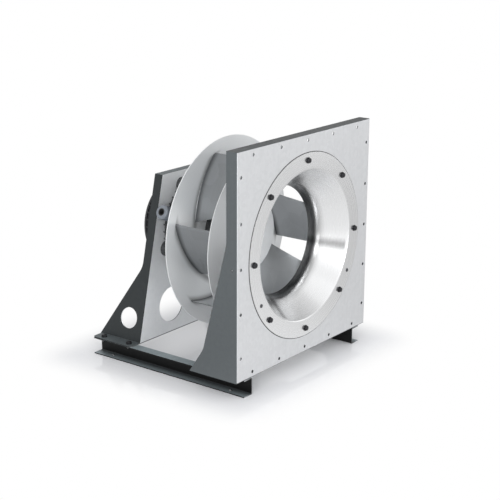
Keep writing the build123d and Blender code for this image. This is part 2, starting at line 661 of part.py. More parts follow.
def stator_coils():
    """One coil round each tooth."""
    half = TOOTH_WIDTH / 2
    inner = TUBE_R + CORE_YOKE + SEAT
    outer = sqrt((core_r() - TOOTH_TIP) ** 2 - (half + COIL_WALL) ** 2) - SEAT
    y1 = FRONT + CORE_REAR
    y0 = y1 - CORE_LENGTH
    coil = block(
        inner, outer, y0 - COIL_OVERHANG, y1 + COIL_OVERHANG,
        AXIS_Z - half - COIL_WALL, AXIS_Z + half + COIL_WALL)
    coil = fillet(coil.edges().filter_by(Axis.X), COIL_WALL)
    coil -= block(inner - 1, outer + 1, y0, y1, AXIS_Z - half, AXIS_Z + half)
    return around(coil, TEETH)


# Ball bearings
def ball_r():
    """Radius of the ring of balls, halfway between shaft and seat."""
    return (SHAFT_R + BEARING_R) / 2


def groove(y):
    """The round track that the balls leave in both rings."""
    line = CenterArc((ball_r(), y), BALL_R + SPIN_GAP, 0, 360)
    return spin_line(line)


def bearing_rings(front):
    """Outer and inner ring of the bearing whose front face is given."""
    y = front + BEARING_WIDTH / 2
    rear = front + BEARING_WIDTH
    outer = disc(front, rear, BEARING_R, BEARING_R - BEARING_LAND) - groove(y)
    inner = disc(front, rear, SHAFT_R + BEARING_LAND, SHAFT_R) - groove(y)
    return outer, inner


def bearing_balls(front):
    """The balls of a bearing."""
    ball = Pos(ball_r(), front + BEARING_WIDTH / 2, AXIS_Z) * Sphere(BALL_R)
    return around(ball, BALLS)


def bearing_cage(front):
    """Ring with a round pocket for each ball, which keeps them apart."""
    y = front + BEARING_WIDTH / 2
    width = BALL_R + CAGE_EDGE
    cage = disc(y - width, y + width, ball_r() + CAGE_WALL / 2, ball_r() - CAGE_WALL / 2)
    pocket = extrude(radial_plane(0, y, ball_r() - CAGE_WALL) * Circle(BALL_R + SPIN_GAP), 2 * CAGE_WALL)
    for cut in around(pocket, BALLS):
        cage -= cut
    return cage


# Rotor
def rotor_bell():
    """Cup with a hub in front and a rim behind, to which the backplate is screwed."""
    front = FRONT + ROTOR_FRONT
    rear = FRONT + ROTOR_REAR
    rim = FRONT + BACKPLATE_FRONT + BACKPLATE_WALL
    inside = ROTOR_R - ROTOR_WALL
    hub = SHAFT_R + BEARING_LAND
    bell = spin(
        (SHAFT_R, front), (ROTOR_R - ROTOR_WALL, front), (ROTOR_R, front + ROTOR_WALL), (ROTOR_R, rim),
        (ROTOR_RIM_R, rim), (ROTOR_RIM_R, rim + ROTOR_RIM_WALL), (ROTOR_R, rim + ROTOR_RIM_WALL),
        (ROTOR_R, rear), (inside, rear), (inside, front + ROTOR_END), (hub, front + ROTOR_END),
        (hub, FRONT + FRONT_BEARING), (SHAFT_R, FRONT + FRONT_BEARING))
    for x, z in hub_screw_places():
        bell -= rod(rim - 1, rim + ROTOR_RIM_WALL + 1, x, z, M6[0] + THREAD_GAP)
    return bell


def hub_screw_places():
    """Centres of the screws between backplate and rotor, from the fan's axis."""
    return [polar(HUB_PCR, 360 / HUB_SCREWS * n) for n in range(HUB_SCREWS)]


def magnets():
    """Curved magnets inside the bell, over the length of the core."""
    y1 = FRONT + CORE_REAR
    inside = ROTOR_R - ROTOR_WALL
    ring = Circle(inside) - Circle(inside - MAGNET_WALL)
    half = radians(MAGNET_ARC / 2)
    wedge = make_face(Polyline(
        (0, 0), (2 * inside * cos(half), 2 * inside * sin(half)),
        (2 * inside * cos(half), -2 * inside * sin(half)), close=True))
    section = face_plane(y1) * (ring & wedge)
    return around(extrude(section, CORE_LENGTH, dir=(0, -1, 0)), MAGNETS)


def motor_shaft():
    """Round shaft with chamfered ends and a groove for the retaining ring."""
    front = FRONT + ROTOR_FRONT + ROTOR_END / 4
    shaft = disc(front, FRONT + SHAFT_REAR, SHAFT_R)
    shaft = chamfer(shaft.edges().filter_by(GeomType.CIRCLE), 1.0)
    groove_y = FRONT + REAR_BEARING + BEARING_WIDTH
    return shaft - disc(groove_y, groove_y + CLIP_WALL, SHAFT_R + 1, SHAFT_R - CLIP_DEPTH)


def retaining_ring():
    """Open spring ring in the groove behind the rear bearing."""
    y = FRONT + REAR_BEARING + BEARING_WIDTH
    ring = disc(y, y + CLIP_WALL, SHAFT_R + 3 * CLIP_DEPTH, SHAFT_R - CLIP_DEPTH)
    gap = block(-CLIP_GAP / 2, CLIP_GAP / 2, y - 1, y + CLIP_WALL + 1, AXIS_Z, AXIS_Z + 2 * SHAFT_R)
    return ring - gap


# Impeller
def shroud_points():
    """Places in radius and Y that shape the shroud: centre of its turn, its end and the rim."""
    slope = radians(SHROUD_SLOPE)
    centre_r = eye_r() + SHROUD_ROUND
    end_r = centre_r - SHROUD_ROUND * sin(slope)
    rim_y = FRONT + SHROUD_RIM
    end_y = rim_y - (SHROUD_R - end_r) * tan(slope)
    centre_y = end_y - SHROUD_ROUND * cos(slope)
    return (centre_r, centre_y), (end_r, end_y), (SHROUD_R, rim_y)


def eye_r():
    """Inside radius of the shroud's collar, which runs round the nozzle."""
    return THROAT_R + NOZZLE_WALL + SHROUD_GAP


def shroud():
    """Spun ring: a collar round the nozzle that turns outwards to a shallow cone."""
    (cr, cy), (er, ey), (rr, ry) = shroud_points()
    slope = radians(SHROUD_SLOPE)
    thin = SHROUD_ROUND - SHROUD_WALL
    front = FRONT + NOZZLE_REACH - SHROUD_LAP
    step_r = SHROUD_WALL * sin(slope)
    step_y = SHROUD_WALL * cos(slope)
    flow_turn = CenterArc((cr, cy), SHROUD_ROUND, 180, -(90 - SHROUD_SLOPE))
    flow_cone = Line((er, ey), (rr, ry))
    rim = Line((rr, ry), (rr + step_r, ry - step_y))
    front_cone = Line((rr + step_r, ry - step_y), (er + step_r, ey - step_y))
    front_turn = CenterArc((cr, cy), thin, 90 + SHROUD_SLOPE, 90 - SHROUD_SLOPE)
    collar = Polyline(
        (eye_r() + SHROUD_WALL, cy), (eye_r() + SHROUD_WALL, front), (eye_r(), front), (eye_r(), cy))
    return spin_line(flow_turn + flow_cone + rim + front_cone + front_turn + collar)


def flow_channel():
    """The space between shroud and backplate that the blades fill, from inner to outer edge."""
    (cr, cy), (er, ey), (rr, ry) = shroud_points()
    slope = radians(SHROUD_SLOPE)
    back = FRONT + BACKPLATE_FRONT
    inner_r = eye_r() + BLADE_EYE_STEP
    lead = degrees(atan2(sqrt(SHROUD_ROUND ** 2 - (cr - inner_r) ** 2), inner_r - cr))
    outer_y = ry - (SHROUD_R - BLADE_R) * tan(slope)
    turn = CenterArc((cr, cy), SHROUD_ROUND, lead, 90 + SHROUD_SLOPE - lead)
    inner_y = cy + SHROUD_ROUND * sin(radians(lead))
    rest = Polyline(
        (er, ey), (BLADE_R, outer_y), (BLADE_R, back), (BLADE_EYE_R, back), (inner_r, inner_y))
    return spin_line(turn + rest)


def blade():
    """Curved sheet that ends on the X axis and leans back against the way it turns."""
    angle = radians(BLADE_ANGLE)
    centre = (BLADE_R - BLADE_CURVE * cos(angle), -BLADE_CURVE * sin(angle))
    back = FRONT + BACKPLATE_FRONT
    bent = face_plane(back) * Pos(*centre) * (Circle(BLADE_CURVE) - Circle(BLADE_CURVE - BLADE_WALL))
    sheet = extrude(bent, BACKPLATE_FRONT - NOZZLE_REACH + SHROUD_LAP)
    half = block(0, SHROUD_R, FRONT, back, AXIS_Z - BLADE_R / 2, AXIS_Z + SHROUD_R)
    return sheet & half & flow_channel()


def backplate():
    """Flat disc with an opening for the rotor and holes for its screws."""
    front = FRONT + BACKPLATE_FRONT
    plate = disc(front, front + BACKPLATE_WALL, BACKPLATE_R, ROTOR_R + SEAT)
    for x, z in hub_screw_places():
        plate -= rod(front - 1, front + BACKPLATE_WALL + 1, x, z, M6[0] + HOLE_GAP)
    return plate


# Everything, in the order of assembly
def sub_parts():
    """Name and shape of every sub-part."""
    yield "left_rail", rail(-1)
    yield "right_rail", rail(1)
    yield "inlet_panel", inlet_panel()
    yield "inlet_nozzle", nozzle()
    rim_length = NOZZLE_WALL + SHEET + M8[2] * 2
    rim_face = FRONT - NOZZLE_WALL
    places = nozzle_screw_places()
    yield "nozzle_screws", [screw_along_y(M8, rim_face, rim_length, x, z) for x, z in places]
    yield "nozzle_nuts", [nut_along_y(M8, FRONT + SHEET, x, z) for x, z in places]
    yield "pressure_taps", [pressure_tap(angle) for angle in TAP_ANGLES]
    yield "motor_panel", motor_panel()
    seat = RAIL_HEIGHT + SHEET
    grip = SHEET + RAIL_WALL + M8[2] * 2
    yield "foot_bolts", [screw_down(M8, seat, grip, x, y) for x, y in foot_bolt_places()]
    under = RAIL_HEIGHT - RAIL_WALL
    yield "foot_nuts", [nut_below(M8, under, x, y) for x, y in foot_bolt_places()]
    yield "motor_housing", motor_housing()
    lug_front = MOTOR_Y - LUG_LENGTH
    grip = LUG_LENGTH + SHEET + HOUSING_WALL + M10[2] * 2
    yield "motor_bolts", [screw_along_y(M10, lug_front, grip, x, z) for x, z in lug_places()]
    ear_rear = MOTOR_Y + SHEET + HOUSING_WALL
    yield "motor_nuts", [nut_along_y(M10, ear_rear, x, z) for x, z in lug_places()]
    body, cap, seal = gland_parts()
    yield "gland_body", body
    yield "gland_nut", cap
    yield "gland_seal", seal
    yield "electronics_housing", electronics_housing()
    yield "electronics_cover", electronics_cover()
    yield "cover_screws", [cover_screw(x, z) for x, z in cover_screw_places()]
    yield "circuit_board", circuit_board()
    yield "stator_core", stator_core()
    yield "stator_coils", stator_coils()
    spring = FRONT + REAR_BEARING - PRELOAD_WALL
    yield "preload_washer", disc(spring, spring + PRELOAD_WALL, BEARING_R - SEAT, BEARING_R - BEARING_LAND)
    for name, front in (("front", FRONT + FRONT_BEARING), ("rear", FRONT + REAR_BEARING)):
        outer, inner = bearing_rings(front)
        yield name + "_bearing_outer", outer
        yield name + "_bearing_inner", inner
        yield name + "_bearing_balls", bearing_balls(front)
        yield name + "_bearing_cage", bearing_cage(front)
    yield "motor_shaft", motor_shaft()
    yield "retaining_ring", retaining_ring()
    yield "rotor_bell", rotor_bell()
    yield "rotor_magnets", magnets()
    yield "impeller_backplate", backplate()
    face = FRONT + BACKPLATE_FRONT
    length = BACKPLATE_WALL + ROTOR_RIM_WALL
    yield "hub_screws", [screw_along_y(M6, face, length, x, z) for x, z in hub_screw_places()]
    for number, piece in enumerate(around(blade(), BLADES, BLADE_TURN), start=1):
        yield "blade_" + str(number), piece
    yield "impeller_shroud", shroud()


os.makedirs("parts", exist_ok=True)
for name, shape in sub_parts():
    save(shape, name)
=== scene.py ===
from math import atan2, cos, hypot, pi, radians, sin, tan

import bmesh
import bpy
import numpy as np
from mathutils import Matrix, Vector


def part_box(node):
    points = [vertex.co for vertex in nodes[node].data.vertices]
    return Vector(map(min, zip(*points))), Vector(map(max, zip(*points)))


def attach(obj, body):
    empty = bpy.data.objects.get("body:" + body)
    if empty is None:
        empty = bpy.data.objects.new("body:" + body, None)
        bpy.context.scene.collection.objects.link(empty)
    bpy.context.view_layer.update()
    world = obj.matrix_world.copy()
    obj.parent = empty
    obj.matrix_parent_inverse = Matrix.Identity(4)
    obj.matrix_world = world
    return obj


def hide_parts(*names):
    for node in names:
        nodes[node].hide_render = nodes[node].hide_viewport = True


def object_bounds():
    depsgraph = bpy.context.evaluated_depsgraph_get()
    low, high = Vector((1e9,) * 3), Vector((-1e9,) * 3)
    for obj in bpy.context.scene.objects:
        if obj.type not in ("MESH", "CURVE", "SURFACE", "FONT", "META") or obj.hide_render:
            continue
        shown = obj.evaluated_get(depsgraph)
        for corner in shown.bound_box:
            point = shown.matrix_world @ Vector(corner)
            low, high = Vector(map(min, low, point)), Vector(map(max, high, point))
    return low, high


# A centrifugal plug fan. Two folded steel panels on floor rails carry the inlet nozzle and the
# motor, and a welded aluminium impeller turns on the motor's outer rotor.
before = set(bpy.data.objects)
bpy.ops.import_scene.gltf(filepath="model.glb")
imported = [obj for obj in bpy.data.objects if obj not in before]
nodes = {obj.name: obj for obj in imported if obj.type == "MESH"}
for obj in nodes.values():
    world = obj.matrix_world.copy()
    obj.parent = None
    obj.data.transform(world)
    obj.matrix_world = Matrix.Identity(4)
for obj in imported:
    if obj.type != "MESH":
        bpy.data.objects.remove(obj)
cad_lo, cad_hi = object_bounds()


# The view: a long lens in front of the fan's left corner, a little above its middle. From its
# place the panels' corners and hole rows lie as in the photograph.
VIEW_TURN = radians(-52.771)
VIEW_DOWN = radians(16.116)
VIEW_ROLL = radians(0.24)
VIEW_PLACE = (-2.7781, -2.1936, 1.3252)
VIEW_LENS = 90.35

camera = bpy.data.objects.new("camera", bpy.data.cameras.new("camera"))
camera.data.lens = VIEW_LENS
camera.location = VIEW_PLACE
aim = Matrix.Rotation(VIEW_TURN, 4, "Z") @ Matrix.Rotation(pi / 2 - VIEW_DOWN, 4, "X")
camera.rotation_euler = (aim @ Matrix.Rotation(VIEW_ROLL, 4, "Z")).to_euler()
bpy.context.scene.collection.objects.link(camera)
bpy.context.scene.camera = camera
bpy.context.scene.view_settings.view_transform = "Standard"


# Base rails: two channels rolled from galvanised strip, open to the outside, which lie on the
# floor and carry both panels. Their shapes are the imported ones; here they get their zinc, with
# painted shade on all but the flanges' tops and the cut ends, and more painted shade inside the
# channel, darkest at its web.
RAIL = {
    "Light": (0.410, 0.420, 0.428, 1), "Dark": (0.320, 0.330, 0.338, 1), "Smooth": 0.40, "Rough": 0.55,
    "Crystals": 130.0,                # zinc crystals per metre
    "Grain": (260.0, 5.0, 260.0),     # marks per metre, drawn out along the rail
    "Painted_side_shade": 0.02, "Top": 1 / 0.02}    # painted shade on all but the flanges' tops and the cut ends, which keep the full tone
RAIL_WEB_SHADE = 0.18                     # the share of its tone that the painted shade in the channel leaves at its web
RAIL_SKIN = 0.0005                    # the upper flange's top, down to this depth, has none of the channel's painted shade
ZINC_RELIEF = 0.00003
ZINC_METALLIC = 0.5
CRYSTAL_SHARE, MARK_SHARE, CLOUD_SHARE = 0.30, 0.40, 0.30   # what makes up the zinc's tone
CRYSTAL_BEND = (0.012, 0.012, 0.012)  # how far the crystals' edges wander, in metres
BEND_SCALE = 55.0
CLOUD_SCALE = 4.5
CRYSTAL_RELIEF = 0.35                 # beside that of the marks
FOLD_START, FOLD_END = 0.4, 0.9       # how much a face has to point along an axis to belong to it
SIDE_SHADE_TINT = (0.84, 0.96, 1.0, 1)      # painted shade: the folded sides are a little colder than the flat ones
SPREAD = 0.25                         # noise seldom goes below this or above one less this
WHITE = (1, 1, 1, 1)
FINISH_IN = {"Light": WHITE, "Dark": WHITE, "Smooth": 0.3, "Rough": 0.5}
FINISH_OUT = {"Colour": "Color", "Roughness": "Float", "Height": "Float"}


def add(tree, kind, inputs=None, **settings):
    """One shader node. An input is a plain value, or another node's output, which gets linked."""
    node = tree.nodes.new(kind)
    for name, value in settings.items():
        setattr(node, name, value)
    for key, value in (inputs or {}).items():
        if isinstance(value, bpy.types.NodeSocket):
            tree.links.new(value, node.inputs[key])
        else:
            node.inputs[key].default_value = value
    return node


def maths(tree, operation, *values):
    """The result of one sum, product or other operation on values or outputs."""
    return add(tree, "ShaderNodeMath", dict(enumerate(values)), operation=operation).outputs[0]


def new_group(name, inputs, outputs):
    """An empty group of nodes, from the first value of each input and the kind of each output."""
    tree = bpy.data.node_groups.new(name, "ShaderNodeTree")
    kinds = {float: "NodeSocketFloat", tuple: "NodeSocketColor", list: "NodeSocketVector"}
    for label, value in inputs.items():
        socket = tree.interface.new_socket(label, in_out="INPUT", socket_type=kinds[type(value)])
        socket.default_value = value
    for label, kind in outputs.items():
        tree.interface.new_socket(label, in_out="OUTPUT", socket_type="NodeSocket" + kind)
    return tree, tree.nodes.new("NodeGroupInput").outputs, tree.nodes.new("NodeGroupOutput").inputs


def where(tree):
    """The place on a surface, in metres, and its parts along X, Y and Z."""
    place = add(tree, "ShaderNodeTexCoord").outputs["Object"]
    return place, add(tree, "ShaderNodeSeparateXYZ", {0: place}).outputs


def noise(tree, place, scale, detail):
    """Soft noise over a place, with as many patches per metre as its scale."""
    return add(tree, "ShaderNodeTexNoise", {"Vector": place, "Scale": scale, "Detail": detail}).outputs


def weighed(tree, *parts):
    """The sum of values, each given with its weight."""
    total = 0.0
    for value, weight in parts:
        total = maths(tree, "MULTIPLY_ADD", value, weight, total)
    return total


def vectors(tree, operation, *values):
    """The result of an operation on vectors or outputs: a vector, or the value that it measures."""
    node = add(tree, "ShaderNodeVectorMath", dict(enumerate(values)), operation=operation)
    measures = operation in ("LENGTH", "DISTANCE", "DOT_PRODUCT")
    return node.outputs["Value" if measures else "Vector"]


def times(tree, colour, share):
    """A colour scaled by a share."""
    return add(tree, "ShaderNodeVectorMath", {0: colour, "Scale": share}, operation="SCALE").outputs[0]


def mixture(tree, given, share, spread=SPREAD):
    """A group's colour and roughness: dark and rough at a low share, light and smooth at a high one."""
    colour = add(tree, "ShaderNodeMixRGB", {0: share, 1: given["Dark"], 2: given["Light"]}).outputs[0]
    rough = add(tree, "ShaderNodeMapRange", {
        "Value": share, "From Min": spread, "From Max": 1 - spread,
        "To Min": given["Rough"], "To Max": given["Smooth"]}).outputs[0]
    return colour, rough


def put_out(tree, result, colour, rough, height):
    """Link what a group has worked out to its outputs."""
    for label, value in (("Colour", colour), ("Roughness", rough), ("Height", height)):
        tree.links.new(value, result[label])


def zinc_bloom():
    """Crystals of the zinc bath, marks along the rolled strip and broad clouds, mixed into one tone.

    Painted_side_shade scales the colour of what doesn't face along Y, as painted shade that makes a
    panel's folded sides darker and colder than its face, and Top scales it again for
    what faces up: painted shade below 1, painted light above 1."""
    inputs = FINISH_IN | {"Crystals": 90.0, "Grain": [1, 1, 1], "Painted_side_shade": 1.0, "Top": 1.0}
    tree, given, result = new_group("zinc_bloom", inputs, FINISH_OUT)
    place, _ = where(tree)
    bend = noise(tree, place, BEND_SCALE, detail=2.0)["Color"]
    bent = vectors(tree, "ADD", place, vectors(tree, "MULTIPLY", bend, CRYSTAL_BEND))
    crystal = {"Vector": bent, "Scale": given["Crystals"]}
    crystal = add(tree, "ShaderNodeTexVoronoi", crystal).outputs["Color"]
    crystal = add(tree, "ShaderNodeSeparateColor", {0: crystal}).outputs[0]
    along = add(tree, "ShaderNodeMapping", {"Vector": place, "Scale": given["Grain"]}).outputs[0]
    marks = noise(tree, along, 1.0, detail=5.0)[0]
    cloud = noise(tree, place, CLOUD_SCALE, detail=3.0)[0]
    share = weighed(tree, (crystal, CRYSTAL_SHARE), (marks, MARK_SHARE), (cloud, CLOUD_SHARE))
    colour, rough = mixture(tree, given, share)
    # Painted shade and light by the way a face points: the sides darker and colder, what faces up
    # scaled again.
    normal = add(tree, "ShaderNodeTexCoord").outputs["Normal"]
    facing = add(tree, "ShaderNodeSeparateXYZ", {0: normal}).outputs
    flat = maths(tree, "ABSOLUTE", facing[1])
    plain = maths(tree, "MAXIMUM", flat, given["Painted_side_shade"])
    tint = add(tree, "ShaderNodeMixRGB", {0: plain, 1: SIDE_SHADE_TINT, 2: WHITE}).outputs[0]
    colour = vectors(tree, "MULTIPLY", colour, tint)
    for across, first, last in ((flat, given["Painted_side_shade"], 1.0), (facing[2], 1.0, given["Top"])):
        colour = times(tree, colour, add(tree, "ShaderNodeMapRange", {
            "Value": across, "From Min": FOLD_START, "From Max": FOLD_END,
            "To Min": first, "To Max": last}).outputs[0])
    put_out(tree, result, colour, rough, weighed(tree, (crystal, CRYSTAL_RELIEF), (marks, 1.0)))
    return tree


def new_material(name, **plain):
    """A material, its shader tree and its surface, whose plain values are set on its own sockets."""
    material = bpy.data.materials.new(name)
    material.use_nodes = True
    surface = material.node_tree.nodes["Principled BSDF"]
    for label, value in plain.items():
        surface.inputs[label.replace("_", " ")].default_value = value
    return material, material.node_tree, surface


def finish(name, group, values, relief, metallic):
    """A material whose colour, roughness and relief, in metres, a group works out from values."""
    material, tree, surface = new_material(name, Metallic=metallic)
    effect = add(tree, "ShaderNodeGroup", values, node_tree=group).outputs
    bump = add(tree, "ShaderNodeBump", {"Height": effect["Height"], "Distance": relief}).outputs[0]
    tree.links.new(effect["Colour"], surface.inputs["Base Color"])
    tree.links.new(effect["Roughness"], surface.inputs["Roughness"])
    tree.links.new(bump, surface.inputs["Normal"])
    return material


def band(tree, value, start, end, first, last):
    """A smooth step from first to last while a value goes from start to end."""
    return add(tree, "ShaderNodeMapRange", {
        "Value": value, "From Min": start, "From Max": end, "To Min": first, "To Max": last},
        interpolation_type="SMOOTHSTEP").outputs[0]


def tone(tree, share, mask=1.0):
    """Scale the colour that a material's surface already has, by share where the mask is 1."""
    colour = tree.nodes["Principled BSDF"].inputs["Base Color"]
    share = band(tree, mask, 0.0, 1.0, 1.0, share)
    tree.links.new(times(tree, colour.links[0].from_socket, share), colour)


def dress(material, *names):
    """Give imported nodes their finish."""
    for name in names:
        for slot in nodes[name].material_slots:
            slot.material = material


zinc = zinc_bloom()
rail_zinc = finish("rail_zinc", zinc, RAIL, ZINC_RELIEF, ZINC_METALLIC)
dress(rail_zinc, "left_rail", "right_rail")
rail_lo, rail_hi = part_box("left_rail")
tree = rail_zinc.node_tree
_, part = where(tree)
# Painted shade: darker towards the channel's web, below the upper flange's top.
web_shade = band(tree, maths(tree, "ABSOLUTE", part[0]), -rail_hi.x, -rail_lo.x, RAIL_WEB_SHADE, 1.0)
tone(tree, web_shade, maths(tree, "LESS_THAN", part[2], rail_hi.z - RAIL_SKIN))


# Inlet panel: one galvanised sheet, folded back along its four sides, with the holes that fix it
# to a wall. It was rolled from top to bottom. Its imported shape stays; its folded sides and its
# top flange get painted shade.
# The folded sides and the top flange are darkened here as painted shade.
PANEL = {
    "Light": (0.62, 0.628, 0.64, 1), "Dark": (0.53, 0.538, 0.55, 1), "Smooth": 0.36, "Rough": 0.50,
    "Crystals": 95.0, "Grain": (190.0, 190.0, 3.5), "Painted_side_shade": 0.225, "Top": 0.5}

panel_zinc = finish("panel_zinc", zinc, PANEL, ZINC_RELIEF, ZINC_METALLIC)
dress(panel_zinc, "inlet_panel")


# Inlet nozzle: spun from sheet over a former, which leaves fine rings. Its flat rim lies on the
# panel, turns into a cone and the cone into a straight throat that reaches into the impeller. The
# throat is darkened as painted shade, and two soft dark streaks across the cone are painted
# reflections.
NOZZLE_WALL = 0.0015
NOZZLE_LIP_R = 0.216
NOZZLE_LIP_ROUND = 0.006
NOZZLE_CONE = radians(37)             # between the cone and the fan's axis
NOZZLE_THROAT_R = 0.157
NOZZLE_THROAT_ROUND = 0.050
RIM_STEPS, LIP_STEPS, CONE_STEPS, KNEE_STEPS = 8, 12, 24, 28
EDGE_ROUND = 0.0004
ROUND_STEPS = 4
GUARD = 1.4                           # where a guard point lies, in shares of the corner's reach
TURN_STEPS = 360
SMOOTH_LIMIT = radians(32)            # sharper turns than this stay edges
MERGE = 1e-6
NOZZLE = {
    "Light": (0.84, 0.845, 0.85, 1), "Dark": (0.74, 0.745, 0.755, 1), "Smooth": 0.22, "Rough": 0.32,
    "Pitch": 900.0}                   # spinning rings per metre
RING_SHARE, BROAD_SHARE, PATCH_SHARE = 0.35, 0.35, 0.30     # what makes up the turned tone
BROAD_PITCH = 60.0                    # broad bands of rings per metre
BROAD_RELIEF = 2.0                    # beside that of the rings
PATCH_SCALE = 7.0
# how dark the painted shade in the throat gets, and how far it fades in
THROAT_SHADE = 0.15
THROAT_SHADE_FADE = 0.026
SHADE_STREAKS = (-12.5, -117)                 # where dark streaks are painted across the cone as reflections, in degrees from the right
STREAK_HALF = radians(7.5)
STREAK_TONE = 0.45
STREAK_START, STREAK_FULL = 0.002, 0.010  # how far behind the rim a painted streak begins and is full

nozzle_lo, nozzle_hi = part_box("inlet_nozzle")
AXIS_Z = (nozzle_lo.z + nozzle_hi.z) / 2
rim_r = (nozzle_hi.x - nozzle_lo.x) / 2
knee = nozzle_lo.y + (NOZZLE_LIP_R - NOZZLE_THROAT_R) / tan(NOZZLE_CONE)


def ellipse(centre, half, start, end, steps):
    """Points of radius and Y at centre + (half cos t, half sin t), from one angle t to another."""
    t = np.linspace(start, end, steps)
    return np.stack([centre[0] + half[0] * np.cos(t), centre[1] + half[1] * np.sin(t)], -1)


def rounded(outline, radius):
    """A closed outline with its corners rounded: each becomes the curve (1-t)^2 A + 2t(1-t) V + t^2 B.

    A and B lie on both sides of the corner V, and a guard point beyond each keeps the flats flat."""
    corner = np.asarray(outline, float)
    back = np.roll(corner, 1, 0) - corner
    ahead = np.roll(corner, -1, 0) - corner
    long_back = np.linalg.norm(back, axis=1, keepdims=True)
    long_ahead = np.linalg.norm(ahead, axis=1, keepdims=True)
    turn = np.arccos(np.clip(-(back * ahead).sum(1, keepdims=True) / long_back / long_ahead, -1, 1))
    reach = np.where(turn > SMOOTH_LIMIT, np.minimum(radius, np.minimum(long_back, long_ahead) / 3), 0)
    a = back / long_back * reach
    b = ahead / long_ahead * reach
    t = np.linspace(0, 1, ROUND_STEPS)[:, None, None]
    curve = (1 - t) ** 2 * a + t ** 2 * b
    curve = np.concatenate([GUARD * a[None], curve, GUARD * b[None]])
    return (corner + curve).transpose(1, 0, 2).reshape(-1, 2)


def turned(outline, steps=TURN_STEPS):
    """An outline of radius and Y carried round the fan's axis: x = r cos t, z = axis + r sin t."""
    t = np.linspace(0, 2 * pi, steps, endpoint=False)
    r, y = np.asarray(outline, float).T[:, :, None]
    return np.stack([r * np.cos(t), y + 0 * t, AXIS_Z + r * np.sin(t)], -1)


def solid(name, grids, ring=False):
    """A closed mesh over grids of points whose columns run round.

    The rows of a ring run round too. Otherwise the first and the last row each meet in a point."""
    points, faces, start = [], [], 0
    for grid in grids:
        rows, columns = grid.shape[:2]
        index = start + np.arange(rows * columns).reshape(rows, columns)
        index = np.hstack([index, index[:, :1]])
        if ring:
            index = np.vstack([index, index[:1]])
        corners = index[:-1, :-1], index[:-1, 1:], index[1:, 1:], index[1:, :-1]
        faces.append(np.stack(corners, -1).reshape(-1, 4))
        points.append(grid.reshape(-1, 3))
        start += rows * columns
    mesh = bpy.data.meshes.new(name)
    mesh.from_pydata(np.concatenate(points), [], np.concatenate(faces))
    work = bmesh.new()
    work.from_mesh(mesh)
    bmesh.ops.remove_doubles(work, verts=work.verts, dist=MERGE)
    bmesh.ops.recalc_face_normals(work, faces=work.faces)
    work.to_mesh(mesh)
    work.free()
    mesh.shade_smooth()
    mesh.set_sharp_from_angle(angle=SMOOTH_LIMIT)
    piece = bpy.data.objects.new(name, mesh)
    bpy.context.scene.collection.objects.link(piece)
    return piece


def about_axis(tree):
    """The place on a surface, the same seen along the fan's axis, its distance from it, and Y."""
    place, part = where(tree)
    up = maths(tree, "SUBTRACT", part[2], AXIS_Z)
    flat = add(tree, "ShaderNodeCombineXYZ", {0: part[0], 1: up}).outputs[0]
    return place, flat, vectors(tree, "LENGTH", flat), part[1]


def turned_rings():
    """Rings that a tool leaves round the fan's axis: noise over radius and depth, and broad bands."""
    tree, given, result = new_group("turned_rings", FINISH_IN | {"Pitch": 900.0}, FINISH_OUT)
    place, _, radius, y = about_axis(tree)
    across = maths(tree, "SUBTRACT", radius, y)
    fine, broad = (
        add(tree, "ShaderNodeTexNoise", {"W": maths(tree, "MULTIPLY", across, pitch), "Detail": detail},
            noise_dimensions="1D").outputs[0]
        for pitch, detail in ((given["Pitch"], 2.0), (BROAD_PITCH, 3.0)))
    cloud = noise(tree, place, PATCH_SCALE, detail=4.0)[0]
    share = weighed(tree, (fine, RING_SHARE), (broad, BROAD_SHARE), (cloud, PATCH_SHARE))
    height = weighed(tree, (fine, 1.0), (broad, BROAD_RELIEF))
    put_out(tree, result, *mixture(tree, given, share), height)
    return tree


def nozzle_side(thin):
    """One side of the spun sheet in radius and Y, from the rim over the cone to the throat.

    Both sides turn about the same two centres; on the rear side the radii are less by thin."""
    lip = (NOZZLE_LIP_R + NOZZLE_LIP_ROUND * tan(pi / 4 - NOZZLE_CONE / 2),
           nozzle_lo.y + NOZZLE_LIP_ROUND)
    turn = (NOZZLE_THROAT_R + NOZZLE_THROAT_ROUND,
            knee + NOZZLE_THROAT_ROUND * tan(NOZZLE_CONE / 2))
    first = ellipse(lip, (NOZZLE_LIP_ROUND - thin,) * 2, 1.5 * pi, pi + NOZZLE_CONE, LIP_STEPS)
    last = ellipse(turn, (NOZZLE_THROAT_ROUND - thin,) * 2, pi + NOZZLE_CONE, pi, KNEE_STEPS)
    return np.concatenate([
        np.linspace((rim_r, first[0, 1]), first[0], RIM_STEPS)[:-1], first[:-1],
        np.linspace(first[-1], last[0], CONE_STEPS), last[1:], [(last[-1, 0], nozzle_hi.y)]])


rings = turned_rings()
spun_zinc = finish("spun_zinc", rings, NOZZLE, relief=0.000008, metallic=1.0)
tree = spun_zinc.node_tree
_, part = where(tree)
# Painted shade: darker down the throat, from before the knee inwards.
tone(tree, band(tree, part[1], knee - THROAT_SHADE_FADE, knee + THROAT_SHADE_FADE / 2, 1.0, THROAT_SHADE))
turn = maths(tree, "ARCTAN2", maths(tree, "SUBTRACT", part[2], AXIS_Z), part[0])
behind_rim = band(tree, part[1], nozzle_lo.y + STREAK_START, nozzle_lo.y + STREAK_FULL, 0.0, 1.0)
# Painted reflections: two soft dark streaks across the cone, behind the rim.
for streak in SHADE_STREAKS:
    off = maths(tree, "ABSOLUTE", maths(tree, "SUBTRACT", turn, radians(streak)))
    tone(tree, band(tree, off, 0.0, STREAK_HALF, STREAK_TONE, 1.0), behind_rim)
nozzle_outline = np.concatenate([nozzle_side(0), nozzle_side(NOZZLE_WALL)[::-1]])
bell = solid("nozzle_bell", [turned(rounded(nozzle_outline, EDGE_ROUND))], ring=True)
bell.data.materials.append(spun_zinc)
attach(bell, "frame")
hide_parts("inlet_nozzle")


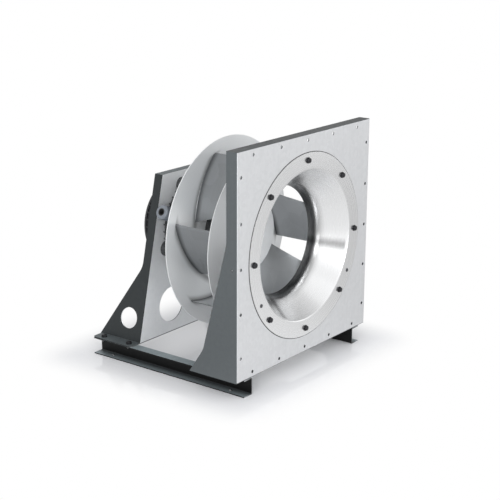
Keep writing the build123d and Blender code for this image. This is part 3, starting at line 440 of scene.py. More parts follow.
# Rim screws: eight black hexagon screws with washers hold the rim to the panel, each with a nut
# behind it. They are cold headed, with a chamfer over the corners and a rolled thread.
SCREW_CIRCLE = 0.243
SCREW_COUNT = 8
SCREW_STEPS = 48
M8 = (0.004, 0.013, 0.0053, 0.00125)  # shank radius, width of the hexagon, head and thread pitch
WASHER_WALL = 0.0016
WASHER_REACH = 0.00125
SHEET = 0.0025
FLAT_SHARE = 0.47                     # of the hexagon's width, the round flat on a head
CORNER_SHARE = 0.58                   # just past the hexagon's corners
CHAMFER_STEPS = 6
CHAMFER_SLOPE = tan(radians(30))
THREAD_DEPTH = 0.61                   # of the pitch
THREAD_STEPS = 6                      # to one pitch
TIP_SHARE = 0.8                       # of the shank, where it ends
PLAIN_PITCHES = 2                     # of shank without a thread, under the washer
NUT_SHARE = 1.25                      # of a head's height, a nut's
OXIDE = {
    "Light": (0.045, 0.046, 0.050, 1), "Dark": (0.020, 0.020, 0.023, 1), "Smooth": 0.30, "Rough": 0.45,
    "Grains": 2500.0}                 # grains per metre
PLATE = {
    "Light": (0.72, 0.73, 0.74, 1), "Dark": (0.52, 0.53, 0.55, 1), "Smooth": 0.26, "Rough": 0.40,
    "Grains": 1800.0}
SPECK_SHARE, HAZE_SHARE = 0.45, 0.55  # what makes up a grained tone
HAZE_SCALE = 14.0
ROUND, HEXAGON, THREAD = 0, 1, 2


def chamfered(width, height, down):
    """The end of a hexagon in radius, height and kind: a cone that cuts the corners off."""
    r = width * np.linspace(FLAT_SHARE, CORNER_SHARE, CHAMFER_STEPS)
    step = (r - r[0]) * CHAMFER_SLOPE
    return np.stack([r, height - step if down else height + step, np.full_like(r, HEXAGON)], -1)


def fastener(outline, width, pitch):
    """Carry an outline of radius, height and kind round Z.

    A hexagon keeps r = min(outline, half its width / cosine of the angle to its nearest flat).
    A thread cuts a triangle wave of height / pitch - angle / full turn out of the radius."""
    angle = np.linspace(0, 2 * pi, SCREW_STEPS, endpoint=False)
    r, height, kind = np.asarray(outline, float).T[:, :, None]
    flat = width / 2 / np.cos((angle + pi / 6) % (pi / 3) - pi / 6)
    wave = np.abs(2 * ((height / pitch - angle / (2 * pi)) % 1) - 1)
    r = np.select([kind == HEXAGON, kind == THREAD],
                  [np.minimum(r, flat), r - THREAD_DEPTH * pitch * wave], r + 0 * angle)
    return np.stack([r * np.cos(angle), r * np.sin(angle), height + 0 * angle], -1)


def screw(size, length):
    """A hexagon screw with its washer on the height 0, its head above and its shank below."""
    shank, width, head, pitch = size
    top = WASHER_WALL + head
    washer = width / 2 / cos(pi / 6) + WASHER_REACH
    thread = np.arange(-PLAIN_PITCHES * pitch, pitch - length, -pitch / THREAD_STEPS)
    thread = np.stack([np.full_like(thread, shank), thread, np.full_like(thread, THREAD)], -1)
    return fastener(np.concatenate([
        [(0, top, ROUND)], chamfered(width, top, True),
        [(width, WASHER_WALL, HEXAGON), (washer - EDGE_ROUND, WASHER_WALL, ROUND),
         (washer, WASHER_WALL - EDGE_ROUND, ROUND), (washer, 0, ROUND), (shank, 0, ROUND),
         (shank, -PLAIN_PITCHES * pitch, ROUND)], thread,
        [(shank * TIP_SHARE, -length, ROUND), (0, -length, ROUND)]]), width, pitch)


def nut(size):
    """A hexagon nut that stands on the height 0, chamfered at both ends."""
    shank, width, head, pitch = size
    height = head * NUT_SHARE
    bore = shank - THREAD_DEPTH * pitch / 2
    return fastener(np.concatenate([
        [(shank, 0, ROUND), (bore, shank - bore, ROUND), (bore, height - shank + bore, ROUND),
         (shank, height, ROUND)],
        chamfered(width, height, True), chamfered(width, 0, False)[::-1]]), width, pitch)


def stand(grid, place, up, turn=0.0):
    """Turn a grid about its height, point that height along up and move it to its place."""
    basis = Vector(up).to_track_quat("Z", "Y").to_matrix() @ Matrix.Rotation(turn, 3, "Z")
    return grid @ np.array(basis).T + np.array(place)


def on_circle(r, angle, y):
    """A place at a radius and an angle, in degrees from X, about the fan's axis."""
    return r * cos(radians(angle)), y, AXIS_Z + r * sin(radians(angle))


def fine_grain():
    """A pebbled skin, as on powder coat, cast plastic or black oxide: noise and small cells."""
    tree, given, result = new_group("fine_grain", FINISH_IN | {"Grains": 900.0}, FINISH_OUT)
    place, _ = where(tree)
    pebble = {"Vector": place, "Scale": given["Grains"]}
    pebble = add(tree, "ShaderNodeTexVoronoi", pebble, feature="SMOOTH_F1").outputs["Distance"]
    speck = noise(tree, place, given["Grains"], detail=3.0)[0]
    haze = noise(tree, place, HAZE_SCALE, detail=4.0)[0]
    colour, rough = mixture(tree, given, weighed(tree, (speck, SPECK_SHARE), (haze, HAZE_SHARE)))
    put_out(tree, result, colour, rough, maths(tree, "ADD", pebble, speck))
    return tree


grain = fine_grain()
black_oxide = finish("black_oxide", grain, OXIDE, relief=0.00002, metallic=0.8)
plated = finish("plated_zinc", grain, PLATE, relief=0.00001, metallic=1.0)
chance = np.random.default_rng(8)     # how far each screw happens to be turned
rim_places = [360 / SCREW_COUNT * n for n in range(SCREW_COUNT)]
rim_length = NOZZLE_WALL + SHEET + 2 * M8[2]

rim_screws = solid("rim_screws", [
    stand(screw(M8, rim_length), on_circle(SCREW_CIRCLE, angle, nozzle_lo.y), (0, -1, 0),
          chance.uniform(0, pi)) for angle in rim_places])
rim_screws.data.materials.append(black_oxide)
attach(rim_screws, "frame")
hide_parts("nozzle_screws")

rim_nuts = solid("rim_nuts", [
    stand(nut(M8), on_circle(SCREW_CIRCLE, angle, nozzle_lo.y + NOZZLE_WALL + SHEET), (0, 1, 0),
          chance.uniform(0, pi)) for angle in rim_places], ring=True)
rim_nuts.data.materials.append(plated)
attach(rim_nuts, "frame")
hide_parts("nozzle_nuts")


# Sealing bead: dark elastic sealant, pressed out from under the rim all round its edge and
# smoothed to a hollow fillet between the rim and the panel. Its dark line stands in for the
# contact shadow round the rim's edge: a painted shadow.
BEAD_OUT = 0.0022                     # how far it reaches past the rim
BEAD_UP = 0.0014                      # how far it climbs the rim's edge
BEAD_IN = 0.0004                      # how far it runs under the rim
BEAD_STEPS = 10
SEAL_SHADOW = {
    "Light": (0.070, 0.072, 0.075, 1), "Dark": (0.035, 0.036, 0.038, 1), "Smooth": 0.55, "Rough": 0.75,
    "Grains": 900.0}

seat_y = nozzle_lo.y + NOZZLE_WALL
hollow = ellipse((rim_r + BEAD_OUT, seat_y - BEAD_UP), (BEAD_OUT, BEAD_UP), pi, pi / 2, BEAD_STEPS)
hollow = np.concatenate([hollow, [(rim_r - BEAD_IN, seat_y), (rim_r - BEAD_IN, seat_y - BEAD_UP)]])
shadow_sealant = finish("dark_sealant_shadow", grain, SEAL_SHADOW, relief=0.00003, metallic=0.0)
sealant_shadow_bead = solid("sealant_shadow_bead", [turned(hollow)], ring=True)
sealant_shadow_bead.data.materials.append(shadow_sealant)
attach(sealant_shadow_bead, "frame")


# Pressure taps: two moulded fittings in the rim, with a hole in a thin hexagon head and a
# spigot behind the panel for the measuring hose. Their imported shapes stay.
TAP = {
    "Light": (0.050, 0.052, 0.058, 1), "Dark": (0.028, 0.029, 0.033, 1), "Smooth": 0.35, "Rough": 0.50,
    "Grains": 1500.0}

tap_plastic = finish("tap_plastic", grain, TAP, relief=0.00002, metallic=0.0)
dress(tap_plastic, "pressure_taps")


# Motor panel: a trapezium of galvanised sheet whose folded sides widen into gussets. It stands
# behind the impeller on two foot plates and holds the motor. Its imported shape stays. It gets a
# much lighter copy of the inlet panel's zinc as painted light, with painted shade on its folded
# sides and painted light on what faces up. The foot plates' cut edges of both panels get painted
# shade.
# Painted light: the inlet panel's zinc made much lighter; dark folded sides as painted shade, upward
# faces lifted again as painted light.
LIT_MOUNT = PANEL | {
    "Light": (0.957, 0.974, 0.99, 1), "Dark": (0.868, 0.886, 0.902, 1), "Smooth": 0.40, "Rough": 0.55,
    "Painted_side_shade": 0.042, "Top": 3.8}
FOOT_SHADE = 0.2
EDGE_FACING = 0.5                     # a face that points along Y by more than this is a cut edge

lit_mount_zinc = finish("lit_mount_zinc", zinc, LIT_MOUNT, ZINC_RELIEF, ZINC_METALLIC)
dress(lit_mount_zinc, "motor_panel")
foot_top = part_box("left_rail")[1].z + SHEET
# Painted shade: the foot plates' cut edges, low by the rails, are darkened to a fifth.
for material in (panel_zinc, lit_mount_zinc):
    tree = material.node_tree
    _, part = where(tree)
    normal = add(tree, "ShaderNodeTexCoord").outputs["Normal"]
    facing = maths(tree, "ABSOLUTE", add(tree, "ShaderNodeSeparateXYZ", {0: normal}).outputs[1])
    tone(tree, FOOT_SHADE, maths(tree, "MULTIPLY", maths(tree, "GREATER_THAN", facing, EDGE_FACING),
                                maths(tree, "LESS_THAN", part[2], foot_top)))


# Foot bolts: eight black screws with washers through the foot plates and the rails, and their
# plated nuts under the rails' upper flange.
FOOT_PITCH = 0.098
RAIL_WALL = 0.003

foot_lo, foot_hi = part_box("foot_bolts")
rail_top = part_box("left_rail")[1].z
washer_r = M8[1] / 2 / cos(pi / 6) + WASHER_REACH
foot_x = foot_hi.x - washer_r
foot_y = [foot_lo.y + washer_r, foot_lo.y + washer_r + FOOT_PITCH,
          foot_hi.y - washer_r - FOOT_PITCH, foot_hi.y - washer_r]
foot_places = [(side * foot_x, y) for side in (-1, 1) for y in foot_y]
foot_length = SHEET + RAIL_WALL + 2 * M8[2]

foot_screws = solid("foot_screws", [
    stand(screw(M8, foot_length), (x, y, foot_top), (0, 0, 1), chance.uniform(0, pi))
    for x, y in foot_places])
foot_screws.data.materials.append(black_oxide)
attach(foot_screws, "frame")
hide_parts("foot_bolts")

foot_lock = solid("foot_lock_nuts", [
    stand(nut(M8), (x, y, rail_top - RAIL_WALL), (0, 0, -1), chance.uniform(0, pi))
    for x, y in foot_places], ring=True)
foot_lock.data.materials.append(plated)
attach(foot_lock, "frame")
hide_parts("foot_nuts")


# Motor housing: an aluminium casting with cooling ribs and four lugs, black powder coated, and
# the ribbed electronics drum and cap behind the panel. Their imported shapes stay.
COAT = {
    "Light": (0.034, 0.036, 0.039, 1), "Dark": (0.018, 0.019, 0.021, 1), "Smooth": 0.42, "Rough": 0.60,
    "Grains": 1100.0}

powder_coat = finish("powder_coat", grain, COAT, relief=0.00006, metallic=0.0)
dress(powder_coat, "motor_housing", "electronics_housing", "electronics_cover")


# Motor bolts: four black screws with washers, through the housing's lugs, the panel and the
# drum's ears, with plated nuts behind.
M10 = (0.005, 0.016, 0.0064, 0.0015)
LUG_CIRCLE = 0.142
LUG_TURN = 22.5
LUG_COUNT = 4
LUG_LENGTH = 0.026
EAR_WALL = 0.006

motor_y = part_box("motor_panel")[0].y
lug_turns = [LUG_TURN + 360 / LUG_COUNT * n for n in range(LUG_COUNT)]
lug_screws = solid("lug_screws", [
    stand(screw(M10, LUG_LENGTH + SHEET + EAR_WALL + 2 * M10[2]),
          on_circle(LUG_CIRCLE, angle, motor_y - LUG_LENGTH), (0, -1, 0), chance.uniform(0, pi))
    for angle in lug_turns])
lug_screws.data.materials.append(black_oxide)
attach(lug_screws, "frame")
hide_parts("motor_bolts")

lug_nuts = solid("lug_nuts", [
    stand(nut(M10), on_circle(LUG_CIRCLE, angle, motor_y + SHEET + EAR_WALL), (0, 1, 0),
          chance.uniform(0, pi)) for angle in lug_turns], ring=True)
lug_nuts.data.materials.append(plated)
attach(lug_nuts, "frame")
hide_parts("motor_nuts")


# Cable gland: a blue-grey moulded body with a hexagon, a gripped cap nut and a rubber seal. It
# is screwed into a pad of the motor housing, beside the impeller, and holds no cable.
GLAND = {
    "Light": (0.205, 0.225, 0.255, 1), "Dark": (0.150, 0.166, 0.190, 1), "Smooth": 0.38, "Rough": 0.52,
    "Grains": 1600.0}
RUBBER = {
    "Light": (0.030, 0.030, 0.031, 1), "Dark": (0.016, 0.016, 0.017, 1), "Smooth": 0.65, "Rough": 0.80,
    "Grains": 1300.0}

gland_plastic = finish("gland_plastic", grain, GLAND, relief=0.00002, metallic=0.0)
gland_rubber = finish("gland_rubber", grain, RUBBER, relief=0.00003, metallic=0.0)
dress(gland_plastic, "gland_body", "gland_nut")
dress(gland_rubber, "gland_seal")


# Cover screws: six plated socket screws that hold the cap to the electronics drum. Their packed
# shapes stay.
dress(plated, "cover_screws")


# Circuit board: glass cloth under green lacquer, with its capacitors and choke, on the shelf of
# the electronics drum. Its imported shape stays.
BOARD = {
    "Light": (0.030, 0.210, 0.105, 1), "Dark": (0.012, 0.120, 0.055, 1), "Smooth": 0.20, "Rough": 0.35,
    "Grains": 420.0}

board_lacquer = finish("board_lacquer", grain, BOARD, relief=0.00002, metallic=0.0)
dress(board_lacquer, "circuit_board")


# Stator: a stack of punched laminations on the bearing tube, with a coil of enamelled wire round
# each tooth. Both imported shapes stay.
STACK = {
    "Light": (0.34, 0.36, 0.39, 1), "Dark": (0.16, 0.17, 0.19, 1), "Smooth": 0.40, "Rough": 0.60,
    "Along": (0, 2000.0, 0)}          # laminations per metre, along the axis
COPPER = {
    "Light": (0.62, 0.28, 0.12, 1), "Dark": (0.36, 0.13, 0.05, 1), "Smooth": 0.25, "Rough": 0.40,
    "Along": (0, 900.0, 0)}           # turns of wire per metre
LAYER_SHARE, RIDGE_SHARE = 0.6, 0.8   # what makes up the tone of layers


def layered():
    """Thin layers side by side along one direction, each a little lighter or darker than the next."""
    tree, given, result = new_group("layered", FINISH_IN | {"Along": [0, 1, 0]}, FINISH_OUT)
    place, _ = where(tree)
    depth = vectors(tree, "DOT_PRODUCT", place, given["Along"])
    layer = {"W": maths(tree, "FLOOR", depth)}
    layer = add(tree, "ShaderNodeTexWhiteNoise", layer, noise_dimensions="1D").outputs[0]
    ridge = maths(tree, "PINGPONG", depth, 0.5)
    share = weighed(tree, (layer, LAYER_SHARE), (ridge, RIDGE_SHARE))
    put_out(tree, result, *mixture(tree, given, share, spread=0.0), ridge)
    return tree


layers = layered()
stack_steel = finish("stack_steel", layers, STACK, relief=0.0001, metallic=0.9)
coil_copper = finish("coil_copper", layers, COPPER, relief=0.0003, metallic=0.9)
dress(stack_steel, "stator_core")
dress(coil_copper, "stator_coils")


# Bearings and shaft: two ball bearings of ground chrome steel in the housing's tube, with a
# spring washer, and the ground shaft with its retaining ring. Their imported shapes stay.
GROUND = {
    "Light": (0.78, 0.785, 0.80, 1), "Dark": (0.62, 0.63, 0.65, 1), "Smooth": 0.10, "Rough": 0.20,
    "Pitch": 6000.0}

ground_steel = finish("ground_steel", rings, GROUND, relief=0.000004, metallic=1.0)
dress(ground_steel, "preload_washer", "motor_shaft", "retaining_ring")
for end in ("front", "rear"):
    for ring in ("outer", "inner", "balls", "cage"):
        dress(ground_steel, f"{end}_bearing_{ring}")


# Rotor: a black cup that turns round the stator, closed in front by a bright turned face, with
# a rim to which the impeller's disc is screwed. Curved magnets are glued inside it.
ROTOR_R = 0.112
ROTOR_WALL = 0.006
ROTOR_END = 0.008
ROTOR_RIM_WALL = 0.008
HUB_R = 0.017
CUP_ROUND = 0.0012
CUP_STEPS = 192
CAP_DEEP = 0.001                      # the front is turned bright, the rest is coated
CAP = {
    "Light": (0.895, 0.91, 0.92, 1), "Dark": (0.775, 0.795, 0.805, 1), "Smooth": 0.36, "Rough": 0.48,
    "Pitch": 700.0}
TURNED_RELIEF = 0.00002
TURNED_METALLIC = 0.55
MAGNET = {
    "Light": (0.30, 0.30, 0.31, 1), "Dark": (0.18, 0.18, 0.19, 1), "Smooth": 0.35, "Rough": 0.50,
    "Grains": 700.0}

rotor_lo, rotor_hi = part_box("rotor_bell")
shaft_r = (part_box("motor_shaft")[1].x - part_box("motor_shaft")[0].x) / 2
hub_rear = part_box("front_bearing_inner")[0].y
disc_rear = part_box("impeller_backplate")[1].y


def rotor_outline():
    """The cup in radius and Y: closed front with a hub, drum and rim."""
    front = rotor_lo.y
    outer = (rotor_hi.x - rotor_lo.x) / 2
    inside = ROTOR_R - ROTOR_WALL
    return [
        (shaft_r, front), (inside, front), (ROTOR_R, front + ROTOR_WALL), (ROTOR_R, disc_rear),
        (outer, disc_rear), (outer, disc_rear + ROTOR_RIM_WALL), (ROTOR_R, disc_rear + ROTOR_RIM_WALL),
        (ROTOR_R, rotor_hi.y), (inside, rotor_hi.y), (inside, front + ROTOR_END),
        (HUB_R, front + ROTOR_END), (HUB_R, hub_rear), (shaft_r, hub_rear)]


def middles(piece):
    """The middle of each of a piece's faces."""
    flat = np.zeros(3 * len(piece.data.polygons))
    piece.data.polygons.foreach_get("center", flat)
    return flat.reshape(-1, 3)


def dress_faces(piece, material, faces):
    """Give some of a piece's faces a second material."""
    piece.data.materials.append(material)
    piece.data.polygons.foreach_set("material_index", faces.astype(np.int32))


cup = solid("rotor_cup", [turned(rounded(rotor_outline(), CUP_ROUND), CUP_STEPS)], ring=True)
cup.data.materials.append(powder_coat)
turned_cap = finish("turned_cap", rings, CAP, TURNED_RELIEF, TURNED_METALLIC)
dress_faces(cup, turned_cap, middles(cup)[:, 1] < rotor_lo.y + CAP_DEEP)
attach(cup, "impeller")
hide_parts("rotor_bell")

magnet_skin = finish("magnet_skin", grain, MAGNET, relief=0.00003, metallic=0.9)
dress(magnet_skin, "rotor_magnets")


# Impeller disc: a flat aluminium disc, cut and turned, that carries the blades. Eight screws
# hold it to the rotor's rim.
ALLOY = CAP | {"Light": (0.925, 0.94, 0.95, 1), "Dark": (0.815, 0.832, 0.842, 1)}
DISC_GAP = 0.0003
HUB_CIRCLE = 0.126
HUB_COUNT = 8
M6 = (0.003, 0.010, 0.004, 0.001)

disc_lo, disc_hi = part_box("impeller_backplate")
disc_r = (disc_hi.x - disc_lo.x) / 2
disc_outline = [(ROTOR_R + DISC_GAP, disc_lo.y), (disc_r, disc_lo.y), (disc_r, disc_hi.y),
                (ROTOR_R + DISC_GAP, disc_hi.y)]
turned_alloy = finish("turned_alloy", rings, ALLOY, TURNED_RELIEF, TURNED_METALLIC)
disc = solid("impeller_disc", [turned(rounded(disc_outline, EDGE_ROUND))], ring=True)
disc.data.materials.append(turned_alloy)
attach(disc, "impeller")
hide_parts("impeller_backplate")

disc_screws = solid("disc_screws", [
    stand(screw(M6, disc_hi.y - disc_lo.y + ROTOR_RIM_WALL),
          on_circle(HUB_CIRCLE, 360 / HUB_COUNT * n, disc_lo.y), (0, -1, 0),
          chance.uniform(0, pi)) for n in range(HUB_COUNT)])
disc_screws.data.materials.append(plated)
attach(disc_screws, "impeller")
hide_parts("hub_screws")


# Impeller shroud: an aluminium ring spun to a collar, which runs round the nozzle, and a turn
# into a shallow cone. The blades are welded to its inside.
SHROUD_WALL = 0.002
SHROUD_SLOPE = radians(10)
SHROUD_ROUND = 0.026
SHROUD_EYE_R = 0.163
SHROUD_R = 0.277
SHROUD_DEPTH = 0.131                  # from the panel's face to the shroud's rim
SHROUD_STEPS = 32

shroud_rim_y = nozzle_lo.y + NOZZLE_WALL + SHROUD_DEPTH
turn_r = SHROUD_EYE_R + SHROUD_ROUND
cone_r = turn_r - SHROUD_ROUND * sin(SHROUD_SLOPE)
cone_y = shroud_rim_y - (SHROUD_R - cone_r) * tan(SHROUD_SLOPE)
turn_y = cone_y - SHROUD_ROUND * cos(SHROUD_SLOPE)


def shroud_outline():
    """The spun ring in radius and Y, from the collar over the turn to the rim and back outside."""
    step = (SHROUD_WALL * sin(SHROUD_SLOPE), SHROUD_WALL * cos(SHROUD_SLOPE))
    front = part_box("impeller_shroud")[0].y
    thin = SHROUD_ROUND - SHROUD_WALL
    return np.concatenate([
        [(SHROUD_EYE_R, front)],
        ellipse((turn_r, turn_y), (SHROUD_ROUND,) * 2, pi, pi / 2 + SHROUD_SLOPE, SHROUD_STEPS),
        [(SHROUD_R, shroud_rim_y), (SHROUD_R + step[0], shroud_rim_y - step[1])],
        ellipse((turn_r, turn_y), (thin, thin), pi / 2 + SHROUD_SLOPE, pi, SHROUD_STEPS),
        [(SHROUD_EYE_R + SHROUD_WALL, front)]])


shroud = solid("front_shroud", [turned(rounded(shroud_outline(), EDGE_ROUND))], ring=True)
shroud.data.materials.append(turned_alloy)
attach(shroud, "impeller")
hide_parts("impeller_shroud")


# Blades: six sheets rolled to an arc and leaned back against the way they turn, whose outer sides
# get a darker copy of the sheet's colour as painted shade. Each is welded to the disc and to the
# shroud along both of its sides.
BLADES = 6
BLADE_WALL = 0.0025
BLADE_R = 0.246
BLADE_EYE_R = 0.162
BLADE_EYE_STEP = 0.013
BLADE_CURVE = 0.3036
BLADE_LEAN = radians(29.5)
BLADE_TURN = 105.4
BLADE_LONG = 36                       # steps from the inner to the outer edge
BLADE_HIGH = 10                       # steps from the disc to the shroud
BLADE_CROWD = 1.4                     # above 1 the steps crowd to the inner edge
SHADE_INNER, SHADE_OUTER = 0.1, 0.9     # of the wall, how deep the painted-shade side goes at either edge
WELD_R = 0.0017
WELD_SWELL = 0.1                      # of the weld's radius, at each ripple
WELD_RIPPLE = 0.0018                  # from one ripple to the next
WELD_SIDES = 8
WELD_STEPS = 220
WELD_ENDS = 0.01, 0.99                # of the blade's length
MILL = {
    "Light": (0.652, 0.672, 0.688, 1), "Dark": (0.512, 0.532, 0.552, 1), "Smooth": 0.34, "Rough": 0.46,
    "Crystals": 20.0, "Grain": (12.0, 420.0, 12.0)}
# Painted shade: a darker copy of the blades' own colour, for their outer sides.
SHADED_MILL = MILL | {
    "Light": (0.25, 0.262, 0.272, 1), "Dark": (0.19, 0.20, 0.208, 1), "Smooth": 0.42, "Rough": 0.55}
WELD = {
    "Light": (0.26, 0.27, 0.28, 1), "Dark": (0.12, 0.125, 0.13, 1), "Smooth": 0.30, "Rough": 0.45,
    "Grains": 1400.0}
JOINT_SHADE_REACH = 0.020                    # how far from a weld the painted shade in the corner reaches
JOINT_SHADE_END = 0.006                      # and how far past the ends of a weld
JOINT_SHADE_TONE = 0.42
FRONT_SKIN = 0.001                    # what lies this near the disc's front belongs to it

blade_turns = [radians(BLADE_TURN + 360 / BLADES * n) for n in range(BLADES)]
arc_x, arc_z = BLADE_R - BLADE_CURVE * cos(BLADE_LEAN), -BLADE_CURVE * sin(BLADE_LEAN)


def skin(long, high, curve):
    """A cylinder of radius curve, cut to the channel between disc and shroud.

    A line of the blade runs from (r0, disc) to (r1, shroud) and is split at the share high, where
    r0 and r1 go with long from the inner to the outer edge. At a radius r the cylinder crosses
    the angle whose cosine is (r^2 - c^2 - curve^2) / (2 c curve), from its own centre at c."""
    inner = SHROUD_EYE_R + BLADE_EYE_STEP
    r1 = inner + (BLADE_R - inner) * long
    r0 = BLADE_EYE_R + (BLADE_R - BLADE_EYE_R) * long
    bend = turn_y + np.sqrt(np.maximum(SHROUD_ROUND ** 2 - (turn_r - r1) ** 2, 0))
    y1 = np.where(r1 < cone_r, bend, shroud_rim_y - (SHROUD_R - r1) * tan(SHROUD_SLOPE))
    r = r0 + (r1 - r0) * high
    y = disc_lo.y + (y1 - disc_lo.y) * high
    far = hypot(arc_x, arc_z)
    swing = np.arccos((r ** 2 - far ** 2 - curve ** 2) / (2 * far * curve)) + atan2(arc_z, arc_x)
    return np.stack([arc_x + curve * np.cos(swing), y, arc_z + curve * np.sin(swing)], -1)


def swung(points, angle):
    """Points about the fan's axis, turned round it by an angle and moved to its height."""
    x, y, z = np.moveaxis(points, -1, 0)
    return np.stack([x * cos(angle) - z * sin(angle), y, AXIS_Z + x * sin(angle) + z * cos(angle)], -1)


def arc_centre(angle):
    """The middle of the arc that the blade at an angle is rolled to."""
    return swung(np.array((arc_x, 0, arc_z)), angle)


def blade_grid():
    """Both skins as one loop from inner to outer edge and back, closed at disc and shroud."""
    long = np.linspace(0, 1, BLADE_LONG)[:, None] ** BLADE_CROWD
    high = np.linspace(0, 1, BLADE_HIGH)[None, :]
    outside, inside = skin(long, high, BLADE_CURVE), skin(long, high, BLADE_CURVE - BLADE_WALL)
    loop = np.concatenate([outside, inside[::-1]])
    middle = (loop + loop[::-1]) / 2
    grid = np.concatenate([middle[:, :1], loop, middle[:, -1:]], 1)
    return grid.transpose(1, 0, 2)


def bead(path):
    """A weld along a path: a round tube, closed at its ends, that swells with each ripple.

    Its radius is R (1 + swell |sin(pi run / ripple)|), where run is the way along the path."""
    ahead = np.gradient(path, axis=0)
    ahead /= np.linalg.norm(ahead, axis=1, keepdims=True)
    side = np.cross(ahead, (0, 1, 0))
    side /= np.linalg.norm(side, axis=1, keepdims=True)
    out = np.cross(side, ahead)
    run = np.cumsum(np.linalg.norm(np.diff(path, axis=0, prepend=path[:1]), axis=1))
    radius = WELD_R * (1 + WELD_SWELL * np.abs(np.sin(pi * run / WELD_RIPPLE)))
    radius[[0, -1]] = 0
    around = np.linspace(0, 2 * pi, WELD_SIDES, endpoint=False)[None, :, None]
    ring = np.cos(around) * side[:, None] + np.sin(around) * out[:, None]
    return path[:, None] + radius[:, None, None] * ring


weld_long = np.linspace(*WELD_ENDS, WELD_STEPS)
weld_paths = [skin(weld_long, end, curve) for end in (0.0, 1.0)
              for curve in (BLADE_CURVE, BLADE_CURVE - BLADE_WALL)]
mill_alloy = finish("mill_alloy", zinc, MILL, ZINC_RELIEF, ZINC_METALLIC)
shaded_mill_alloy = finish("shaded_mill_alloy", zinc, SHADED_MILL, ZINC_RELIEF, ZINC_METALLIC)
weld_alloy = finish("weld_alloy", grain, WELD, relief=0.00004, metallic=1.0)

# Painted shade darkens the sheet in the corners beside the welds: on the disc's front by the
# distance from the nearest blade, on the blades by the distance from the disc and from the shroud.
tree = turned_alloy.node_tree
_, flat, radius, y = about_axis(tree)
near = 1.0
for angle in blade_turns:
    x, _, z = arc_centre(angle)
    centre = (x, z - AXIS_Z, 0)
    far = vectors(tree, "DISTANCE", flat, centre)
    off = maths(tree, "ABSOLUTE", maths(tree, "SUBTRACT", far, BLADE_CURVE - BLADE_WALL / 2))
    side = vectors(tree, "DOT_PRODUCT", flat, (-centre[1], centre[0], 0))
    beyond = maths(tree, "LESS_THAN", side, 0.0)   # where the arc would meet the disc once more
    near = maths(tree, "MINIMUM", maths(tree, "MAXIMUM", off, beyond), near)
beside = maths(tree, "MULTIPLY", band(tree, radius, BLADE_EYE_R - JOINT_SHADE_REACH, BLADE_EYE_R, 0.0, 1.0),
               band(tree, radius, BLADE_R - JOINT_SHADE_END, BLADE_R + JOINT_SHADE_END, 1.0, 0.0))
beside = maths(tree, "MULTIPLY", beside, maths(tree, "COMPARE", y, disc_lo.y, FRONT_SKIN))
tone(tree, band(tree, near, 0.0, JOINT_SHADE_REACH, JOINT_SHADE_TONE, 1.0), beside)

for side_alloy in (mill_alloy, shaded_mill_alloy):
    tree = side_alloy.node_tree
    _, _, radius, y = about_axis(tree)
    slope = tan(SHROUD_SLOPE)
    shroud_y = maths(tree, "MULTIPLY_ADD", radius, slope, shroud_rim_y - SHROUD_R * slope)
    to_disc, to_shroud = maths(tree, "SUBTRACT", disc_lo.y, y), maths(tree, "SUBTRACT", y, shroud_y)
    to_weld = maths(tree, "MINIMUM", to_disc, to_shroud)
    tone(tree, band(tree, to_weld, 0.0, JOINT_SHADE_REACH, JOINT_SHADE_TONE, 1.0))

for n, angle in enumerate(blade_turns):
    blade = solid(f"blade_sheet_{n + 1}", [swung(blade_grid(), angle)])
    blade.data.materials.append(mill_alloy)
    middle = middles(blade)
    x, _, z = (middle - arc_centre(angle)).T
    # The outer sides get the painted shade.
    far_out = np.hypot(middle[:, 0], middle[:, 2] - AXIS_Z) > (BLADE_R + BLADE_EYE_R) / 2
    shade_depth = np.where(far_out, SHADE_OUTER, SHADE_INNER) * BLADE_WALL
    dress_faces(blade, shaded_mill_alloy, np.hypot(x, z) > BLADE_CURVE - shade_depth)
    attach(blade, "impeller")
    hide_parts(f"blade_{n + 1}")
    weld = solid(f"blade_weld_{n + 1}", [swung(bead(path), angle) for path in weld_paths])
    weld.data.materials.append(weld_alloy)
    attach(weld, "impeller")


# The studio: a glossy white floor that runs out into plain white close round the rails. The room
# that the metal mirrors is grey, bright in front and behind, less so above and at its sides. Two
# strong soft lamps stand in front and on the left, two weak ones on the right and above.
FLOOR_HALF = 40.0
FLOOR_FADE = 0.16                     # how far the lit floor reaches past the footprint
FLOOR_COLOUR = (0.89, 0.898, 0.922, 1)
FLOOR_ROUGH = 0.06
ROOM_GREY = 0.05
ROOM_SIDES = (("Y", -1, 0.86), ("Y", 1, 0.70), ("X", -1, 0.30), ("X", 1, 0.14), ("Z", 1, 0.48))
LAMPS = (                             # name, place, size and power
    ("right", (3.4, -2.0, 0.9), 2.0, 10.0),
    ("left", (-1.5, -3.8, 0.9), 1.6, 50.0),
    ("side", (-3.4, -1.2, 1.2), 2.0, 64.0),
    ("top", (0.3, -2.8, 3.0), 2.4, 5.0))


def white_room():
    """How bright the room is along a direction.

    To its grey each bright side adds its strength times the cosine between it and the direction."""
    tree, given, result = new_group("white_room", {"Direction": [0, 0, 0]}, {"Strength": "Float"})
    parts = add(tree, "ShaderNodeSeparateXYZ", {0: given["Direction"]}).outputs
    strength = ROOM_GREY
    for axis, sign, bright in ROOM_SIDES:
        facing = maths(tree, "MAXIMUM", maths(tree, "MULTIPLY", parts[axis], sign), 0.0)
        strength = maths(tree, "ADD", maths(tree, "MULTIPLY", facing, bright), strength)
    tree.links.new(strength, result["Strength"])
    return tree


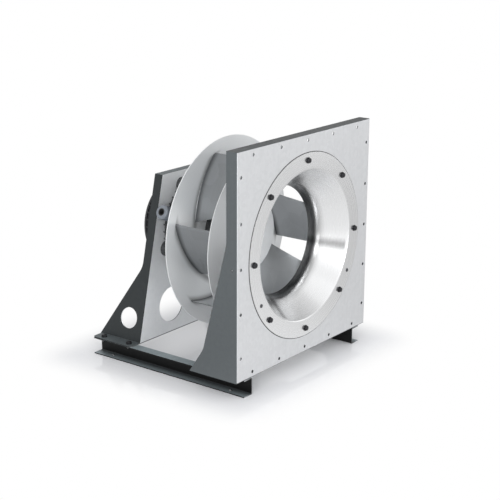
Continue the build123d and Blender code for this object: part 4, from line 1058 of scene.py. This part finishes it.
room = white_room()
h = FLOOR_HALF
floor_mesh = bpy.data.meshes.new("floor")
floor_mesh.from_pydata([(-h, -h, 0), (h, -h, 0), (h, h, 0), (-h, h, 0)], [], [(0, 1, 2, 3)])
floor = bpy.data.objects.new("floor", floor_mesh)
bpy.context.scene.collection.objects.link(floor)
floor_white, tree, surface = new_material(
    "floor_white", Roughness=FLOOR_ROUGH, Base_Color=FLOOR_COLOUR)
place, _ = where(tree)
out = vectors(tree, "SUBTRACT", vectors(tree, "ABSOLUTE", place), (cad_hi.x, cad_hi.y, 0))
out = vectors(tree, "LENGTH", vectors(tree, "MAXIMUM", out, (0, 0, 0)))
fade = band(tree, out, 0.0, FLOOR_FADE, 0.0, 1.0)
path = add(tree, "ShaderNodeLightPath").outputs
aside = vectors(tree, "NORMALIZE", place)
strength = add(tree, "ShaderNodeGroup", {"Direction": aside}, node_tree=room).outputs[0]
strength = maths(tree, "MAXIMUM", strength, path["Is Camera Ray"])
seen = maths(tree, "MAXIMUM", path["Is Camera Ray"], path["Is Glossy Ray"])
plain = add(tree, "ShaderNodeEmission", {"Color": WHITE, "Strength": strength}).outputs[0]
share = maths(tree, "MULTIPLY", fade, seen)
mixed = add(tree, "ShaderNodeMixShader", {0: share, 1: surface.outputs[0], 2: plain}).outputs[0]
tree.links.new(mixed, tree.nodes["Material Output"].inputs["Surface"])
floor_mesh.materials.append(floor_white)

world = bpy.data.worlds.new("studio")
world.use_nodes = True
bpy.context.scene.world = world
tree = world.node_tree
direction = add(tree, "ShaderNodeTexCoord").outputs["Generated"]
strength = add(tree, "ShaderNodeGroup", {"Direction": direction}, node_tree=room).outputs[0]
path = add(tree, "ShaderNodeLightPath").outputs
for ray in ("Is Camera Ray", "Is Transmission Ray"):
    strength = maths(tree, "MAXIMUM", strength, path[ray])
tree.links.new(strength, tree.nodes["Background"].inputs["Strength"])
tree.nodes["Background"].inputs["Color"].default_value = WHITE

for name, place, size, power in LAMPS:
    lamp = bpy.data.objects.new(name, bpy.data.lights.new(name, "AREA"))
    lamp.data.size = size
    lamp.data.energy = power
    lamp.location = place
    lamp.rotation_euler = (Vector((0, 0, AXIS_Z)) - lamp.location).to_track_quat("-Z", "Y").to_euler()
    bpy.context.scene.collection.objects.link(lamp)
